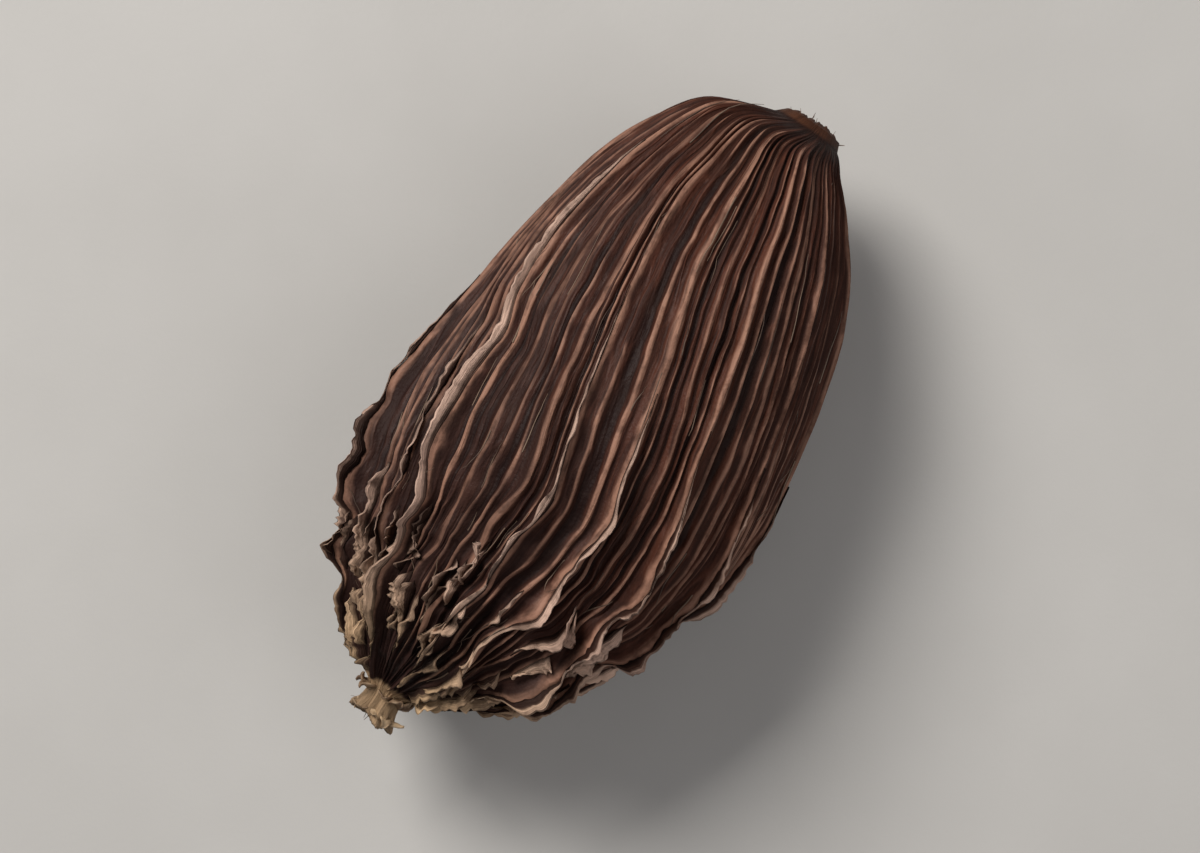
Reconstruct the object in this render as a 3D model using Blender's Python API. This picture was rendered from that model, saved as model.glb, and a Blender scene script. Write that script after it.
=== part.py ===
"""A dried black cardamom pod, lying on its side on a small flat spot.

The pod is one grown piece, so it is one object: a blunt, faintly three-sided husk whose ribs fan out from
the stalk scar at -X and rise into wavy, toothed wings towards the withered flower stub at +X.
Metres, +Z up, origin under the middle of the pod on the surface that it lies on.
"""

import math
import random

import bmesh
import bpy
from mathutils import Vector

# Driving dimensions, in metres
HUSK_LENGTH = 0.0238
HUSK_WIDTH = 0.0121
HUSK_HEIGHT = 0.0110
STUB_LENGTH = 0.0011
STUB_RADIUS = 0.00064
SCAR_RADIUS = 0.00085
SCAR_DEPTH = 0.00022

# Rings of the scar and the stub: place outwards along X as a share of its depth or length, and share of its radius
SCAR_RINGS = ((-1.0, 0.45), (0.35, 0.74), (0.15, 1.0))
STUB_RINGS = ((-0.1, 1.15), (0.35, 1.0), (1.0, 1.25), (0.45, 0.6))
STUB_RIM = 2
RIM_NOTCH = 0.30

# Form of the bare husk, as shares of its length or angles
WIDEST = 0.56
APEX_TAPER = 1.5
BOW = 0.045
SCAR_OFFSET = 0.042
SCAR_REACH = 0.035
LOBES = 3
LOBE_DEPTH = 0.045
LOBE_TURN = math.radians(78)

# Shrinkage hollows: place along the husk, angle round it, reach along, reach round and depth in metres
HOLLOWS = (
    (0.44, math.radians(148), 0.16, math.radians(20), 0.00032),
    (0.62, math.radians(62), 0.14, math.radians(22), 0.00030),
    (0.34, math.radians(20), 0.18, math.radians(24), 0.00030),
    (0.76, math.radians(118), 0.10, math.radians(18), 0.00034),
    (0.50, math.radians(205), 0.20, math.radians(24), 0.00032),
    (0.70, math.radians(330), 0.14, math.radians(22), 0.00030),
)

# Ribs: how they are drawn, and how they rise from low lines into wings
SEED = 11
RIBS = 26
RIB_JITTER = 0.22
RIB_TWIST = math.radians(-24)
TWIST_START = 0.16
TWIST_END = 0.82
WANDER = math.radians(2.8)
WANDER_AT_SCAR = 0.25
SLOW_WANDER = (0.65, 9.0)
QUICK_WANDER = (0.35, 23.0)
MAIN_RIBS = (0, 3, 5, 8, 11, 14, 17, 20, 23)
MAIN_SIZES = (1.15, 1.5)
MINOR_SIZES = (0.5, 0.9)
RIB_HEIGHT = 0.00030
WING_HEIGHT = 0.00064
WING_START = 0.38
WING_FULL = 0.82
CRUMPLE_START = 0.54
CRUMPLE_FULL = 0.80
TOOTH_LENGTH = 0.0023
TOOTH_DEPTH = 0.62
TOOTH_PITCHES = (0.8, 1.3)
TOOTH_SWELL = (0.35, 0.43)
LEAN = 0.40
LEAN_LENGTH = 0.0039
BLUNT_RIB = 2.2
THIN_WING = 3.0
FLANK = 0.40
MINOR_START = 0.30
RIB_RISE = 0.20
SCAR_FADE = 0.06
STUB_FADE = 0.84
STUB_HEIGHT = 0.30

# Ribs seen clearly on the upper side: number, angle round the husk, size and sideways kink
PLACED_RIBS = (
    (5, math.radians(73), 1.65, 0.0),
    (7, math.radians(94), 1.0, 0.0),
    (8, math.radians(113), 1.25, 0.0),
    (10, math.radians(138), 0.6, math.radians(3)),
    (11, math.radians(152), 1.5, math.radians(8)),
    (12, math.radians(167), 0.8, math.radians(5)),
)
KINK_RISE = (0.16, 0.40)
KINK_FALL = (0.42, 0.50)

# Foot: how much of the underside is flat
FOOT_LIFT = 0.00026

# Mesh: rings from the scar to the widest place and from there to the stub, and the radii that they begin
# and end at, as shares of the scar's and the stub's
BASE_RINGS = 16
APEX_RINGS = 30
FIRST_RING = 1.5
LAST_RING = 1.6

HUSK_COLOUR = (0.075, 0.040, 0.029, 1.0)
HUSK_ROUGHNESS = 0.62

UNDERSIDE = math.radians(270)
STEP = 1e-3


def smoothstep(low, high, value):
    """A smooth rise from 0 at low to 1 at high."""
    share = min(1.0, max(0.0, (value - low) / (high - low)))
    return share * share * (3.0 - 2.0 * share)


def bell(distance, reach):
    """A smooth hump, 1 in the middle."""
    return math.exp(-((distance / reach) ** 2))


def turn_between(first, second):
    """The signed angle from first to second, within half a turn."""
    return (second - first + math.pi) % (2.0 * math.pi) - math.pi


def meridian(angle):
    """The place along the husk and the radius there, as shares, at an angle of 0 at the scar and pi at the apex."""
    if angle < math.pi / 2:
        return WIDEST * (1.0 - math.cos(angle)), math.sin(angle)
    return WIDEST - (1.0 - WIDEST) * math.cos(angle), math.sin(angle) ** APEX_TAPER


def centre_line(along):
    """The sideways place of the husk's axis: a slight bow, and a scar set off the middle of the blunt end."""
    bow = -BOW * HUSK_LENGTH * ((along - 0.5) / 0.5) ** 2
    return bow + SCAR_OFFSET * HUSK_LENGTH * bell(along, SCAR_REACH)


def bare_husk(angle, around):
    """A point of the husk without its ribs."""
    along, radius = meridian(angle)
    swell = 1.0 + LOBE_DEPTH * math.cos(LOBES * (around - LOBE_TURN))
    hollow = sum(
        depth * bell(along - place, reach) * bell(turn_between(middle, around), spread)
        for place, middle, reach, spread, depth in HOLLOWS
    )
    half_width = HUSK_WIDTH / 2 * radius * swell - hollow * radius
    half_height = HUSK_HEIGHT / 2 * radius * swell - hollow * radius
    return Vector(
        (
            (along - 0.5) * HUSK_LENGTH,
            centre_line(along) + half_width * math.cos(around),
            half_height * math.sin(around),
        )
    )


def husk_normal(angle, around):
    """The outward direction of the bare husk."""
    lengthwise = bare_husk(angle + STEP, around) - bare_husk(angle - STEP, around)
    crosswise = bare_husk(angle, around + STEP) - bare_husk(angle, around - STEP)
    return crosswise.cross(lengthwise).normalized()


def draw_ribs():
    """The facts of each rib, drawn once with a fixed seed; the placed ribs then take their own."""
    draw = random.Random(SEED)
    ribs = []
    for number in range(RIBS):
        main = number in MAIN_RIBS
        ribs.append(
            {
                "angle": 2.0 * math.pi * (number + draw.uniform(-RIB_JITTER, RIB_JITTER)) / RIBS,
                "size": draw.uniform(*(MAIN_SIZES if main else MINOR_SIZES)),
                "start": 0.0 if main else draw.uniform(0.0, MINOR_START),
                "wave": draw.uniform(0.0, 2.0 * math.pi),
                "drift": draw.uniform(0.0, 2.0 * math.pi),
                "tooth": draw.uniform(*TOOTH_PITCHES),
                "kink": 0.0,
            }
        )
    for number, angle, size, kink in PLACED_RIBS:
        ribs[number].update(angle=angle, size=size, kink=kink)
    return ribs


def rib_angle(rib, along):
    """Where a rib's crest runs: the shared twist, its own kink, and a wander that grows towards the apex."""
    twist = RIB_TWIST * smoothstep(TWIST_START, TWIST_END, along)
    kink = rib["kink"] * smoothstep(*KINK_RISE, along) * (1.0 - smoothstep(*KINK_FALL, along))
    reach = WANDER * (WANDER_AT_SCAR + (1.0 - WANDER_AT_SCAR) * smoothstep(TWIST_START, TWIST_END, along))
    slow = SLOW_WANDER[0] * math.sin(SLOW_WANDER[1] * along + rib["drift"])
    quick = QUICK_WANDER[0] * math.sin(QUICK_WANDER[1] * along + rib["wave"])
    return rib["angle"] + twist + kink + reach * (slow + quick)


def rib_height(rib, along):
    """A rib's height: low at the scar, and a wing with uneven teeth near the apex."""
    wing = smoothstep(WING_START, WING_FULL, along)
    crumple = smoothstep(CRUMPLE_START, CRUMPLE_FULL, along)
    phase = 2.0 * math.pi * along * HUSK_LENGTH * rib["tooth"] / TOOTH_LENGTH + rib["wave"]
    depth, pitch = TOOTH_SWELL
    notch = (0.5 + 0.5 * math.sin(phase)) * (1.0 - depth + depth * math.sin(pitch * phase + rib["drift"]))
    rise = smoothstep(rib["start"] - RIB_RISE / 10, rib["start"] + RIB_RISE, along)
    ends = smoothstep(0.0, SCAR_FADE, along) * (1.0 - (1.0 - STUB_HEIGHT) * smoothstep(STUB_FADE, 1.0, along))
    return (RIB_HEIGHT + WING_HEIGHT * wing) * rib["size"] * (1.0 - TOOTH_DEPTH * crumple * notch) * rise * ends


def rib_lean(rib, along):
    """How far a wing leans to one side, as a share of the room up to the next furrow."""
    crumple = smoothstep(CRUMPLE_START, CRUMPLE_FULL, along)
    return LEAN * crumple * math.sin(2.0 * math.pi * along * HUSK_LENGTH / LEAN_LENGTH + rib["drift"])


def ribbed_ring(ribs, angle):
    """One ring round the husk: for each rib its furrow, first flank, crest and second flank."""
    along, _ = meridian(angle)
    crests = [rib_angle(rib, along) for rib in ribs]
    points = []
    for number, rib in enumerate(ribs):
        crest = crests[number]
        before = turn_between(crest, crests[number - 1]) / 2
        after = turn_between(crest, crests[(number + 1) % RIBS]) / 2
        sharpness = BLUNT_RIB + (THIN_WING - BLUNT_RIB) * smoothstep(WING_START, WING_FULL, along)
        height = rib_height(rib, along)
        for across in (-1.0, -FLANK, 0.0, FLANK):
            room = -before if across < 0.0 else after
            share = (1.0 - abs(across)) ** sharpness
            around = crest + room * (across + rib_lean(rib, along) * share)
            points.append(bare_husk(angle, around) + husk_normal(angle, around) * height * share)
    return points


def plain_ring(place, side, radius, turns):
    """A ring of points round an axis along X."""
    return [Vector((place, side + radius * math.cos(turn), radius * math.sin(turn))) for turn in turns]


def scar_rings(ribs):
    """The stalk scar: a low rim round a shallow dish, one point for each rib, from the dish outwards."""
    turns = [rib_angle(rib, 0.0) for rib in ribs]
    side = centre_line(0.0)
    return [
        plain_ring(-HUSK_LENGTH / 2 - out * SCAR_DEPTH, side, share * SCAR_RADIUS, turns)
        for out, share in SCAR_RINGS
    ]


def stub_rings(ribs):
    """The withered flower stub: a short flared tube with a ragged rim and a dished end."""
    turns = [rib_angle(rib, 1.0) for rib in ribs]
    side = centre_line(1.0)
    rings = [
        plain_ring(HUSK_LENGTH / 2 + out * STUB_LENGTH, side, share * STUB_RADIUS, turns)
        for out, share in STUB_RINGS
    ]
    for point, rib in zip(rings[STUB_RIM], ribs):
        point.x -= STUB_LENGTH * RIM_NOTCH * (0.5 + 0.5 * math.sin(rib["wave"]))
    return rings


def stitch(mesh, first, second):
    """Faces between two rings, where one may have several points for each of the other's."""
    if len(first) == len(second):
        for number, corner in enumerate(first):
            after = (number + 1) % len(first)
            mesh.faces.new((corner, first[after], second[after], second[number]))
        return
    wide, narrow = (first, second) if len(first) > len(second) else (second, first)
    gather = len(wide) // len(narrow)
    for number, near in enumerate(narrow):
        following = narrow[(number + 1) % len(narrow)]
        group = [wide[(number * gather + step) % len(wide)] for step in range(gather + 1)]
        middle = gather // 2
        for step in range(gather):
            mesh.faces.new((group[step], group[step + 1], near if step < middle else following))
        mesh.faces.new((near, group[middle], following))


def close(mesh, ring, place):
    """A fan of faces that closes a ring."""
    middle = mesh.verts.new(place)
    for number, corner in enumerate(ring):
        mesh.faces.new((corner, ring[(number + 1) % len(ring)], middle))


def middle_of(ring):
    """The mean place of a ring's points."""
    return sum((corner.co for corner in ring), Vector()) / len(ring)


def husk_angles():
    """The meridian angles of the ribbed rings, closer together where the wings are."""
    first = math.asin(FIRST_RING * SCAR_RADIUS / (HUSK_WIDTH / 2))
    last = math.pi - math.asin((LAST_RING * STUB_RADIUS / (HUSK_WIDTH / 2)) ** (1.0 / APEX_TAPER))
    middle = math.pi / 2
    base = [first + (middle - first) * step / BASE_RINGS for step in range(BASE_RINGS)]
    apex = [middle + (last - middle) * step / APEX_RINGS for step in range(APEX_RINGS + 1)]
    return base + apex


def settle(mesh):
    """Presses the underside flat at the foot, and sets the pod's box over the origin."""
    floor = min(bare_husk(angle, UNDERSIDE).z for angle in husk_angles()) + FOOT_LIFT
    for vertex in mesh.verts:
        vertex.co.z = max(vertex.co.z, floor) - floor
    for axis in (0, 1):
        places = [vertex.co[axis] for vertex in mesh.verts]
        middle = (min(places) + max(places)) / 2
        for vertex in mesh.verts:
            vertex.co[axis] -= middle


def husk_material():
    """Dull dark brown, like dried husk."""
    material = bpy.data.materials.new("dried_husk")
    material.use_nodes = True
    shader = material.node_tree.nodes["Principled BSDF"]
    shader.inputs["Base Color"].default_value = HUSK_COLOUR
    shader.inputs["Roughness"].default_value = HUSK_ROUGHNESS
    shader.inputs["Metallic"].default_value = 0.0
    return material


def build_pod():
    """The pod as one closed skin, from the dish of its scar to the dish of its stub."""
    ribs = draw_ribs()
    rings = scar_rings(ribs)
    rings += [ribbed_ring(ribs, angle) for angle in husk_angles()]
    rings += stub_rings(ribs)
    mesh = bmesh.new()
    corners = [[mesh.verts.new(point) for point in ring] for ring in rings]
    for ring, following in zip(corners, corners[1:]):
        stitch(mesh, ring, following)
    close(mesh, corners[0], middle_of(corners[0]))
    close(mesh, corners[-1], middle_of(corners[-1]))
    settle(mesh)
    bmesh.ops.recalc_face_normals(mesh, faces=mesh.faces[:])
    bmesh.ops.triangulate(mesh, faces=mesh.faces[:], quad_method="SHORT_EDGE")
    data = bpy.data.meshes.new("pod")
    mesh.to_mesh(data)
    mesh.free()
    data.materials.append(husk_material())
    data.shade_smooth()
    pod = bpy.data.objects.new("pod", data)
    bpy.context.scene.collection.objects.link(pod)
    return pod


def main():
    for startup in list(bpy.data.objects):
        bpy.data.objects.remove(startup)
    build_pod()


main()
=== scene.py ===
"""The looks of a dried black cardamom pod: ribbed husk, papery margins and frills, withered stub and fibres.

The husk repeats the part's own formulas, in metres: +X from the stalk scar to the withered stub, +Z up.
Geometry Nodes raise ribs, wings, strips, lobes and fibres from it, and each result is kept as a plain mesh.
"""

import logging
import math
import random
from dataclasses import dataclass, field
from enum import Enum
from functools import cached_property, reduce

import bmesh
import bpy
import numpy as np
from mathutils import Matrix, Vector


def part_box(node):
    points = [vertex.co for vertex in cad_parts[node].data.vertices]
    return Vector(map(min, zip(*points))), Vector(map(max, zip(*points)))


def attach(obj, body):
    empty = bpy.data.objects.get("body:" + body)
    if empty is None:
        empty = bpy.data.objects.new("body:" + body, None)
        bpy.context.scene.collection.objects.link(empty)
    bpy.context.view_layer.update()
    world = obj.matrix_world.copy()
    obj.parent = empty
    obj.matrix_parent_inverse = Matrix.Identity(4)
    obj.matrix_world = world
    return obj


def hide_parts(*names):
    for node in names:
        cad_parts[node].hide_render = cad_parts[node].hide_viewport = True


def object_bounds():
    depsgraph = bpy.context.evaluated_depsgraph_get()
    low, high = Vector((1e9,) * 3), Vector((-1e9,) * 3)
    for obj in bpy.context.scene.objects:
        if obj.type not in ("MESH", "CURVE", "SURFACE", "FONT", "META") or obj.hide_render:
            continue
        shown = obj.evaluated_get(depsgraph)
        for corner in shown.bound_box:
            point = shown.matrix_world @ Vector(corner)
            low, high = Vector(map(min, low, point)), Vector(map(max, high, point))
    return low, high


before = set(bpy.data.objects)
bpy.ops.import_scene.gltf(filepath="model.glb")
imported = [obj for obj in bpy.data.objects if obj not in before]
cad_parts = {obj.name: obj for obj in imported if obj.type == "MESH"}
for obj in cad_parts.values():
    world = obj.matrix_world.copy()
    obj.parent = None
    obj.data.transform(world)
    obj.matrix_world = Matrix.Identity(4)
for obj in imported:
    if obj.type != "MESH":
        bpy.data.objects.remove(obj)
CAD_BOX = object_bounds()

LOG = logging.getLogger("pod")
MM = 0.001
TURN = 2.0 * math.pi
Array = np.ndarray
Mesh = bpy.types.Mesh
Thing = bpy.types.Object
Material = bpy.types.Material
Tree = bpy.types.NodeTree
Node = bpy.types.Node
Socket = bpy.types.NodeSocket
Sockets = bpy.types.bpy_prop_collection
Value = float | str | tuple | Socket
Colour = tuple[float, float, float, float]
Span = tuple[float, float]
# A ramp is where a smooth step begins and is done and, where they aren't 0 and 1, its values before and after
Ramp = tuple[float, ...]
# A cloud is the size of a noise's cells, how many finer layers it has and how strong those are
Cloud = tuple[float, float, float]


class Piece(Enum):
    """The names of the pieces."""

    HUSK = "pod_husk"
    MARGINS = "wing_margins"
    FRILLS = "apex_frills"
    LOBES = "flower_stub_lobes"
    FIBRES = "loose_fibres"


class Slot(Enum):
    """Names of material slots."""

    HUSK = "husk"


class End(Enum):
    """The two ends of the husk, by their share of its length."""

    SCAR = 0.0
    STUB = 1.0


class Plug(Enum):
    """Kinds of socket on a node group."""

    NUMBER = "NodeSocketFloat"
    VECTOR = "NodeSocketVector"
    GEOMETRY = "NodeSocketGeometry"
    MATERIAL = "NodeSocketMaterial"


class Field(Enum):
    """Values that points carry, and their kind."""

    ALONG = ("along", "FLOAT")
    ACROSS = ("across", "FLOAT")
    ROOM = ("room", "FLOAT")
    SKIN = ("skin", "FLOAT")
    SIZE = ("rib_size", "FLOAT")
    START = ("rib_start", "FLOAT")
    WAVE = ("rib_wave", "FLOAT")
    DRIFT = ("rib_drift", "FLOAT")
    TOOTH = ("rib_tooth", "FLOAT")
    UP = ("strip_up", "FLOAT")
    SIDE = ("strip_side", "FLOAT")
    LIFE = ("strip_life", "FLOAT")
    TALL = ("strip_tall", "FLOAT")
    OUTWARD = ("outward", "FLOAT_VECTOR")
    SIDEWAYS = ("sideways", "FLOAT_VECTOR")
    GRAIN = ("grain", "FLOAT_VECTOR")
    CREST = ("crest", "FLOAT")
    AIM = ("aim", "FLOAT_VECTOR")
    SPREAD = ("spread", "FLOAT_VECTOR")
    THICK = ("thick", "FLOAT")
    TONE = ("tone", "FLOAT")


Fields = dict[Field, Array]


def smoothstep(low: float, high: float, value: Array | float) -> Array | float:
    """A smooth rise over a value, from 0 at low to 1 at high."""
    share = np.clip((value - low) / (high - low), 0.0, 1.0)
    return share * share * (3.0 - 2.0 * share)


def bell(distance: Array, reach: float) -> Array:
    """A smooth hump, 1 in the middle, that spreads as far as its reach."""
    return np.exp(-((distance / reach) ** 2))


def turn_between(first: Array, second: Array) -> Array:
    """The signed angle from first to second, within half a turn."""
    return (second - first + math.pi) % TURN - math.pi


@dataclass
class Rib:
    """One rib's own facts, drawn with the form's seed."""

    angle: float
    size: float
    start: float
    wave: float
    drift: float
    tooth: float
    kink: float = 0.0
    tone: float = 0.0


@dataclass
class PodForm:
    """The husk's driving sizes and the formulas for its bare shape and its ribs' paths."""

    length: float = 23.8 * MM
    width: float = 12.1 * MM
    height: float = 11.0 * MM
    stub_length: float = 1.1 * MM
    stub_radius: float = 0.64 * MM
    scar_radius: float = 0.85 * MM
    scar_depth: float = 0.22 * MM
    widest: float = 0.56
    apex_taper: float = 1.5
    bow: float = 0.045
    scar_offset: float = 0.042
    scar_reach: float = 0.035
    lobes: int = 3
    lobe_depth: float = 0.045
    lobe_turn: float = math.radians(78)
    hollows: tuple[tuple[float, float, float, float, float], ...] = (
        (0.44, math.radians(148), 0.16, math.radians(20), 0.32 * MM),
        (0.62, math.radians(62), 0.14, math.radians(22), 0.30 * MM),
        (0.34, math.radians(20), 0.18, math.radians(24), 0.30 * MM),
        (0.76, math.radians(118), 0.10, math.radians(18), 0.34 * MM),
        (0.50, math.radians(205), 0.20, math.radians(24), 0.32 * MM),
        (0.70, math.radians(330), 0.14, math.radians(22), 0.30 * MM),
    )
    seed: int = 11
    rib_count: int = 26
    rib_jitter: float = 0.22
    twist: float = math.radians(-24)
    twisted: Ramp = (0.16, 0.82)
    wander: float = math.radians(2.8)
    wander_at_scar: float = 0.25
    slow_wander: Span = (0.65, 9.0)
    quick_wander: Span = (0.35, 23.0)
    main_ribs: tuple[int, ...] = (0, 3, 5, 8, 11, 14, 17, 20, 23)
    main_sizes: Span = (1.15, 1.5)
    minor_sizes: Span = (0.5, 0.9)
    minor_start: float = 0.30
    tooth_pitches: Span = (0.8, 1.3)
    tones: Span = (0.10, 0.50)
    placed_ribs: tuple[tuple[int, float, float, float, float], ...] = (
        (5, math.radians(73), 1.65, 0.0, 0.55),
        (7, math.radians(94), 1.0, 0.0, 0.80),
        (8, math.radians(113), 1.25, 0.0, 0.60),
        (10, math.radians(138), 0.6, math.radians(3), 0.10),
        (11, math.radians(152), 1.5, math.radians(8), 1.0),
        (12, math.radians(167), 0.8, math.radians(5), 0.30),
    )
    kink_rise: Ramp = (0.16, 0.40)
    kink_fall: Ramp = (0.42, 0.50)
    foot_lift: float = 0.26 * MM
    first_ring: float = 1.5
    last_ring: float = 1.6
    apex_crowding: float = 0.7
    apex_crowded: Ramp = (0.4, 0.75)
    path_steps: int = 40
    floor_rows: int = 200
    underside: float = math.radians(270)
    step: float = 1e-3
    ribs: list[Rib] = field(default_factory=list)

    def __post_init__(self) -> None:
        """Draws the ribs in the part's own order, and then sets the placed ones."""
        draw = random.Random(self.seed)
        for number in range(self.rib_count):
            main = number in self.main_ribs
            self.ribs.append(
                Rib(
                    angle=TURN * (number + draw.uniform(-self.rib_jitter, self.rib_jitter)) / self.rib_count,
                    size=draw.uniform(*(self.main_sizes if main else self.minor_sizes)),
                    start=0.0 if main else draw.uniform(0.0, self.minor_start),
                    wave=draw.uniform(0.0, TURN),
                    drift=draw.uniform(0.0, TURN),
                    tooth=draw.uniform(*self.tooth_pitches),
                )
            )
        for rib in self.ribs:
            rib.tone = draw.uniform(*self.tones)
        for number, angle, size, kink, tone in self.placed_ribs:
            rib = self.ribs[number]
            rib.angle, rib.size, rib.kink, rib.tone = angle, size, kink, tone

    def facts(self, name: str, numbers: Array) -> Array:
        """One named fact of each numbered rib."""
        return np.array([getattr(self.ribs[number % self.rib_count], name) for number in numbers])

    def meridian(self, angle: Array) -> tuple[Array, Array]:
        """The place along the husk and the radius there.

        Args:
            angle: Meridian angle, 0 at the scar and pi at the apex.

        Returns:
            Both, as shares of the husk's length and half width.
        """
        rise = np.clip(np.sin(angle), 0.0, 1.0)
        base = self.widest * (1.0 - np.cos(angle))
        apex = self.widest - (1.0 - self.widest) * np.cos(angle)
        first = angle < math.pi / 2
        return np.where(first, base, apex), np.where(first, rise, rise**self.apex_taper)

    def angle_at(self, along: float) -> float:
        """The meridian angle at a share of the husk's length."""
        half = self.widest if along < self.widest else 1.0 - self.widest
        return math.acos((self.widest - along) / half)

    def centre_line(self, along: Array | float) -> Array | float:
        """The sideways place of the husk's axis, in metres, at a share of its length."""
        bow = -self.bow * self.length * ((along - 0.5) / 0.5) ** 2
        return bow + self.scar_offset * self.length * bell(along, self.scar_reach)

    def bare(self, angle: Array, around: Array) -> Array:
        """Points of the husk without its ribs.

        Args:
            angle: Meridian angles.
            around: Angles round the husk, 0 at +Y and a quarter turn at the top.

        Returns:
            An array of places with a last axis of 3.
        """
        along, radius = self.meridian(angle)
        swell = 1.0 + self.lobe_depth * np.cos(self.lobes * (around - self.lobe_turn))
        hollow = sum(
            depth * bell(along - place, reach) * bell(turn_between(middle, around), spread)
            for place, middle, reach, spread, depth in self.hollows
        )
        half_width = (self.width / 2 * swell - hollow) * radius
        half_height = (self.height / 2 * swell - hollow) * radius
        x = (along - 0.5) * self.length + 0.0 * around
        y = self.centre_line(along) + half_width * np.cos(around)
        return np.stack((x, y, half_height * np.sin(around)), axis=-1)

    def directions(self, angle: Array, around: Array) -> tuple[Array, Array, Array]:
        """The outward and the sideways directions of the bare husk, and how far a radian of turn reaches.

        Args:
            angle: Meridian angles.
            around: Angles round the husk.

        Returns:
            Outward unit vectors, sideways unit vectors and metres to a radian.
        """
        lengthwise = self.bare(angle + self.step, around) - self.bare(angle - self.step, around)
        crosswise = self.bare(angle, around + self.step) - self.bare(angle, around - self.step)
        outward = np.cross(crosswise, lengthwise)
        outward /= np.linalg.norm(outward, axis=-1, keepdims=True)
        reach = np.linalg.norm(crosswise, axis=-1)
        return outward, crosswise / reach[..., None], reach / (2.0 * self.step)

    def crest_angles(self, along: Array, numbers: Array) -> Array:
        """Where ribs' crests run round the husk.

        Args:
            along: Shares of the husk's length, rows by columns or by 1.
            numbers: Each column's rib.

        Returns:
            Angles, rows by columns.
        """
        angle, wave, drift, kink = (self.facts(name, numbers) for name in ("angle", "wave", "drift", "kink"))
        turned = smoothstep(*self.twisted, along)
        bend = smoothstep(*self.kink_rise, along) * (1.0 - smoothstep(*self.kink_fall, along))
        reach = self.wander * (self.wander_at_scar + (1.0 - self.wander_at_scar) * turned)
        slow = self.slow_wander[0] * np.sin(self.slow_wander[1] * along + drift)
        quick = self.quick_wander[0] * np.sin(self.quick_wander[1] * along + wave)
        return angle + self.twist * turned + kink * bend + reach * (slow + quick)

    def husk_angles(self, rows: int) -> Array:
        """Meridian angles over the skin from the scar's ring to the stub's, closer together towards the apex.

        Args:
            rows: How many rings.

        Returns:
            The angles.
        """
        half = self.width / 2
        first = math.asin(self.first_ring * self.scar_radius / half)
        last = math.pi - math.asin((self.last_ring * self.stub_radius / half) ** (1.0 / self.apex_taper))
        fine = np.linspace(first, last, self.path_steps * rows)
        path = self.bare(fine, np.full_like(fine, math.pi / 2))
        steps = np.linalg.norm(np.diff(path, axis=0), axis=1)
        along, _ = self.meridian(fine[1:])
        crowded = steps * (1.0 + self.apex_crowding * smoothstep(*self.apex_crowded, along))
        travelled = np.concatenate(([0.0], np.cumsum(crowded)))
        return np.interp(np.linspace(0.0, travelled[-1], rows), travelled, fine)

    def floor(self) -> float:
        """The level that the underside is pressed flat at, before the pod is set down."""
        angles = self.husk_angles(self.floor_rows)
        return float(self.bare(angles, np.full_like(angles, self.underside))[:, 2].min()) + self.foot_lift


def live_socket(sockets: Sockets, name: str) -> Socket:
    """The socket of a name that a node's kind of value has switched on."""
    return next(socket for socket in sockets if socket.enabled and socket.name == name)


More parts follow.
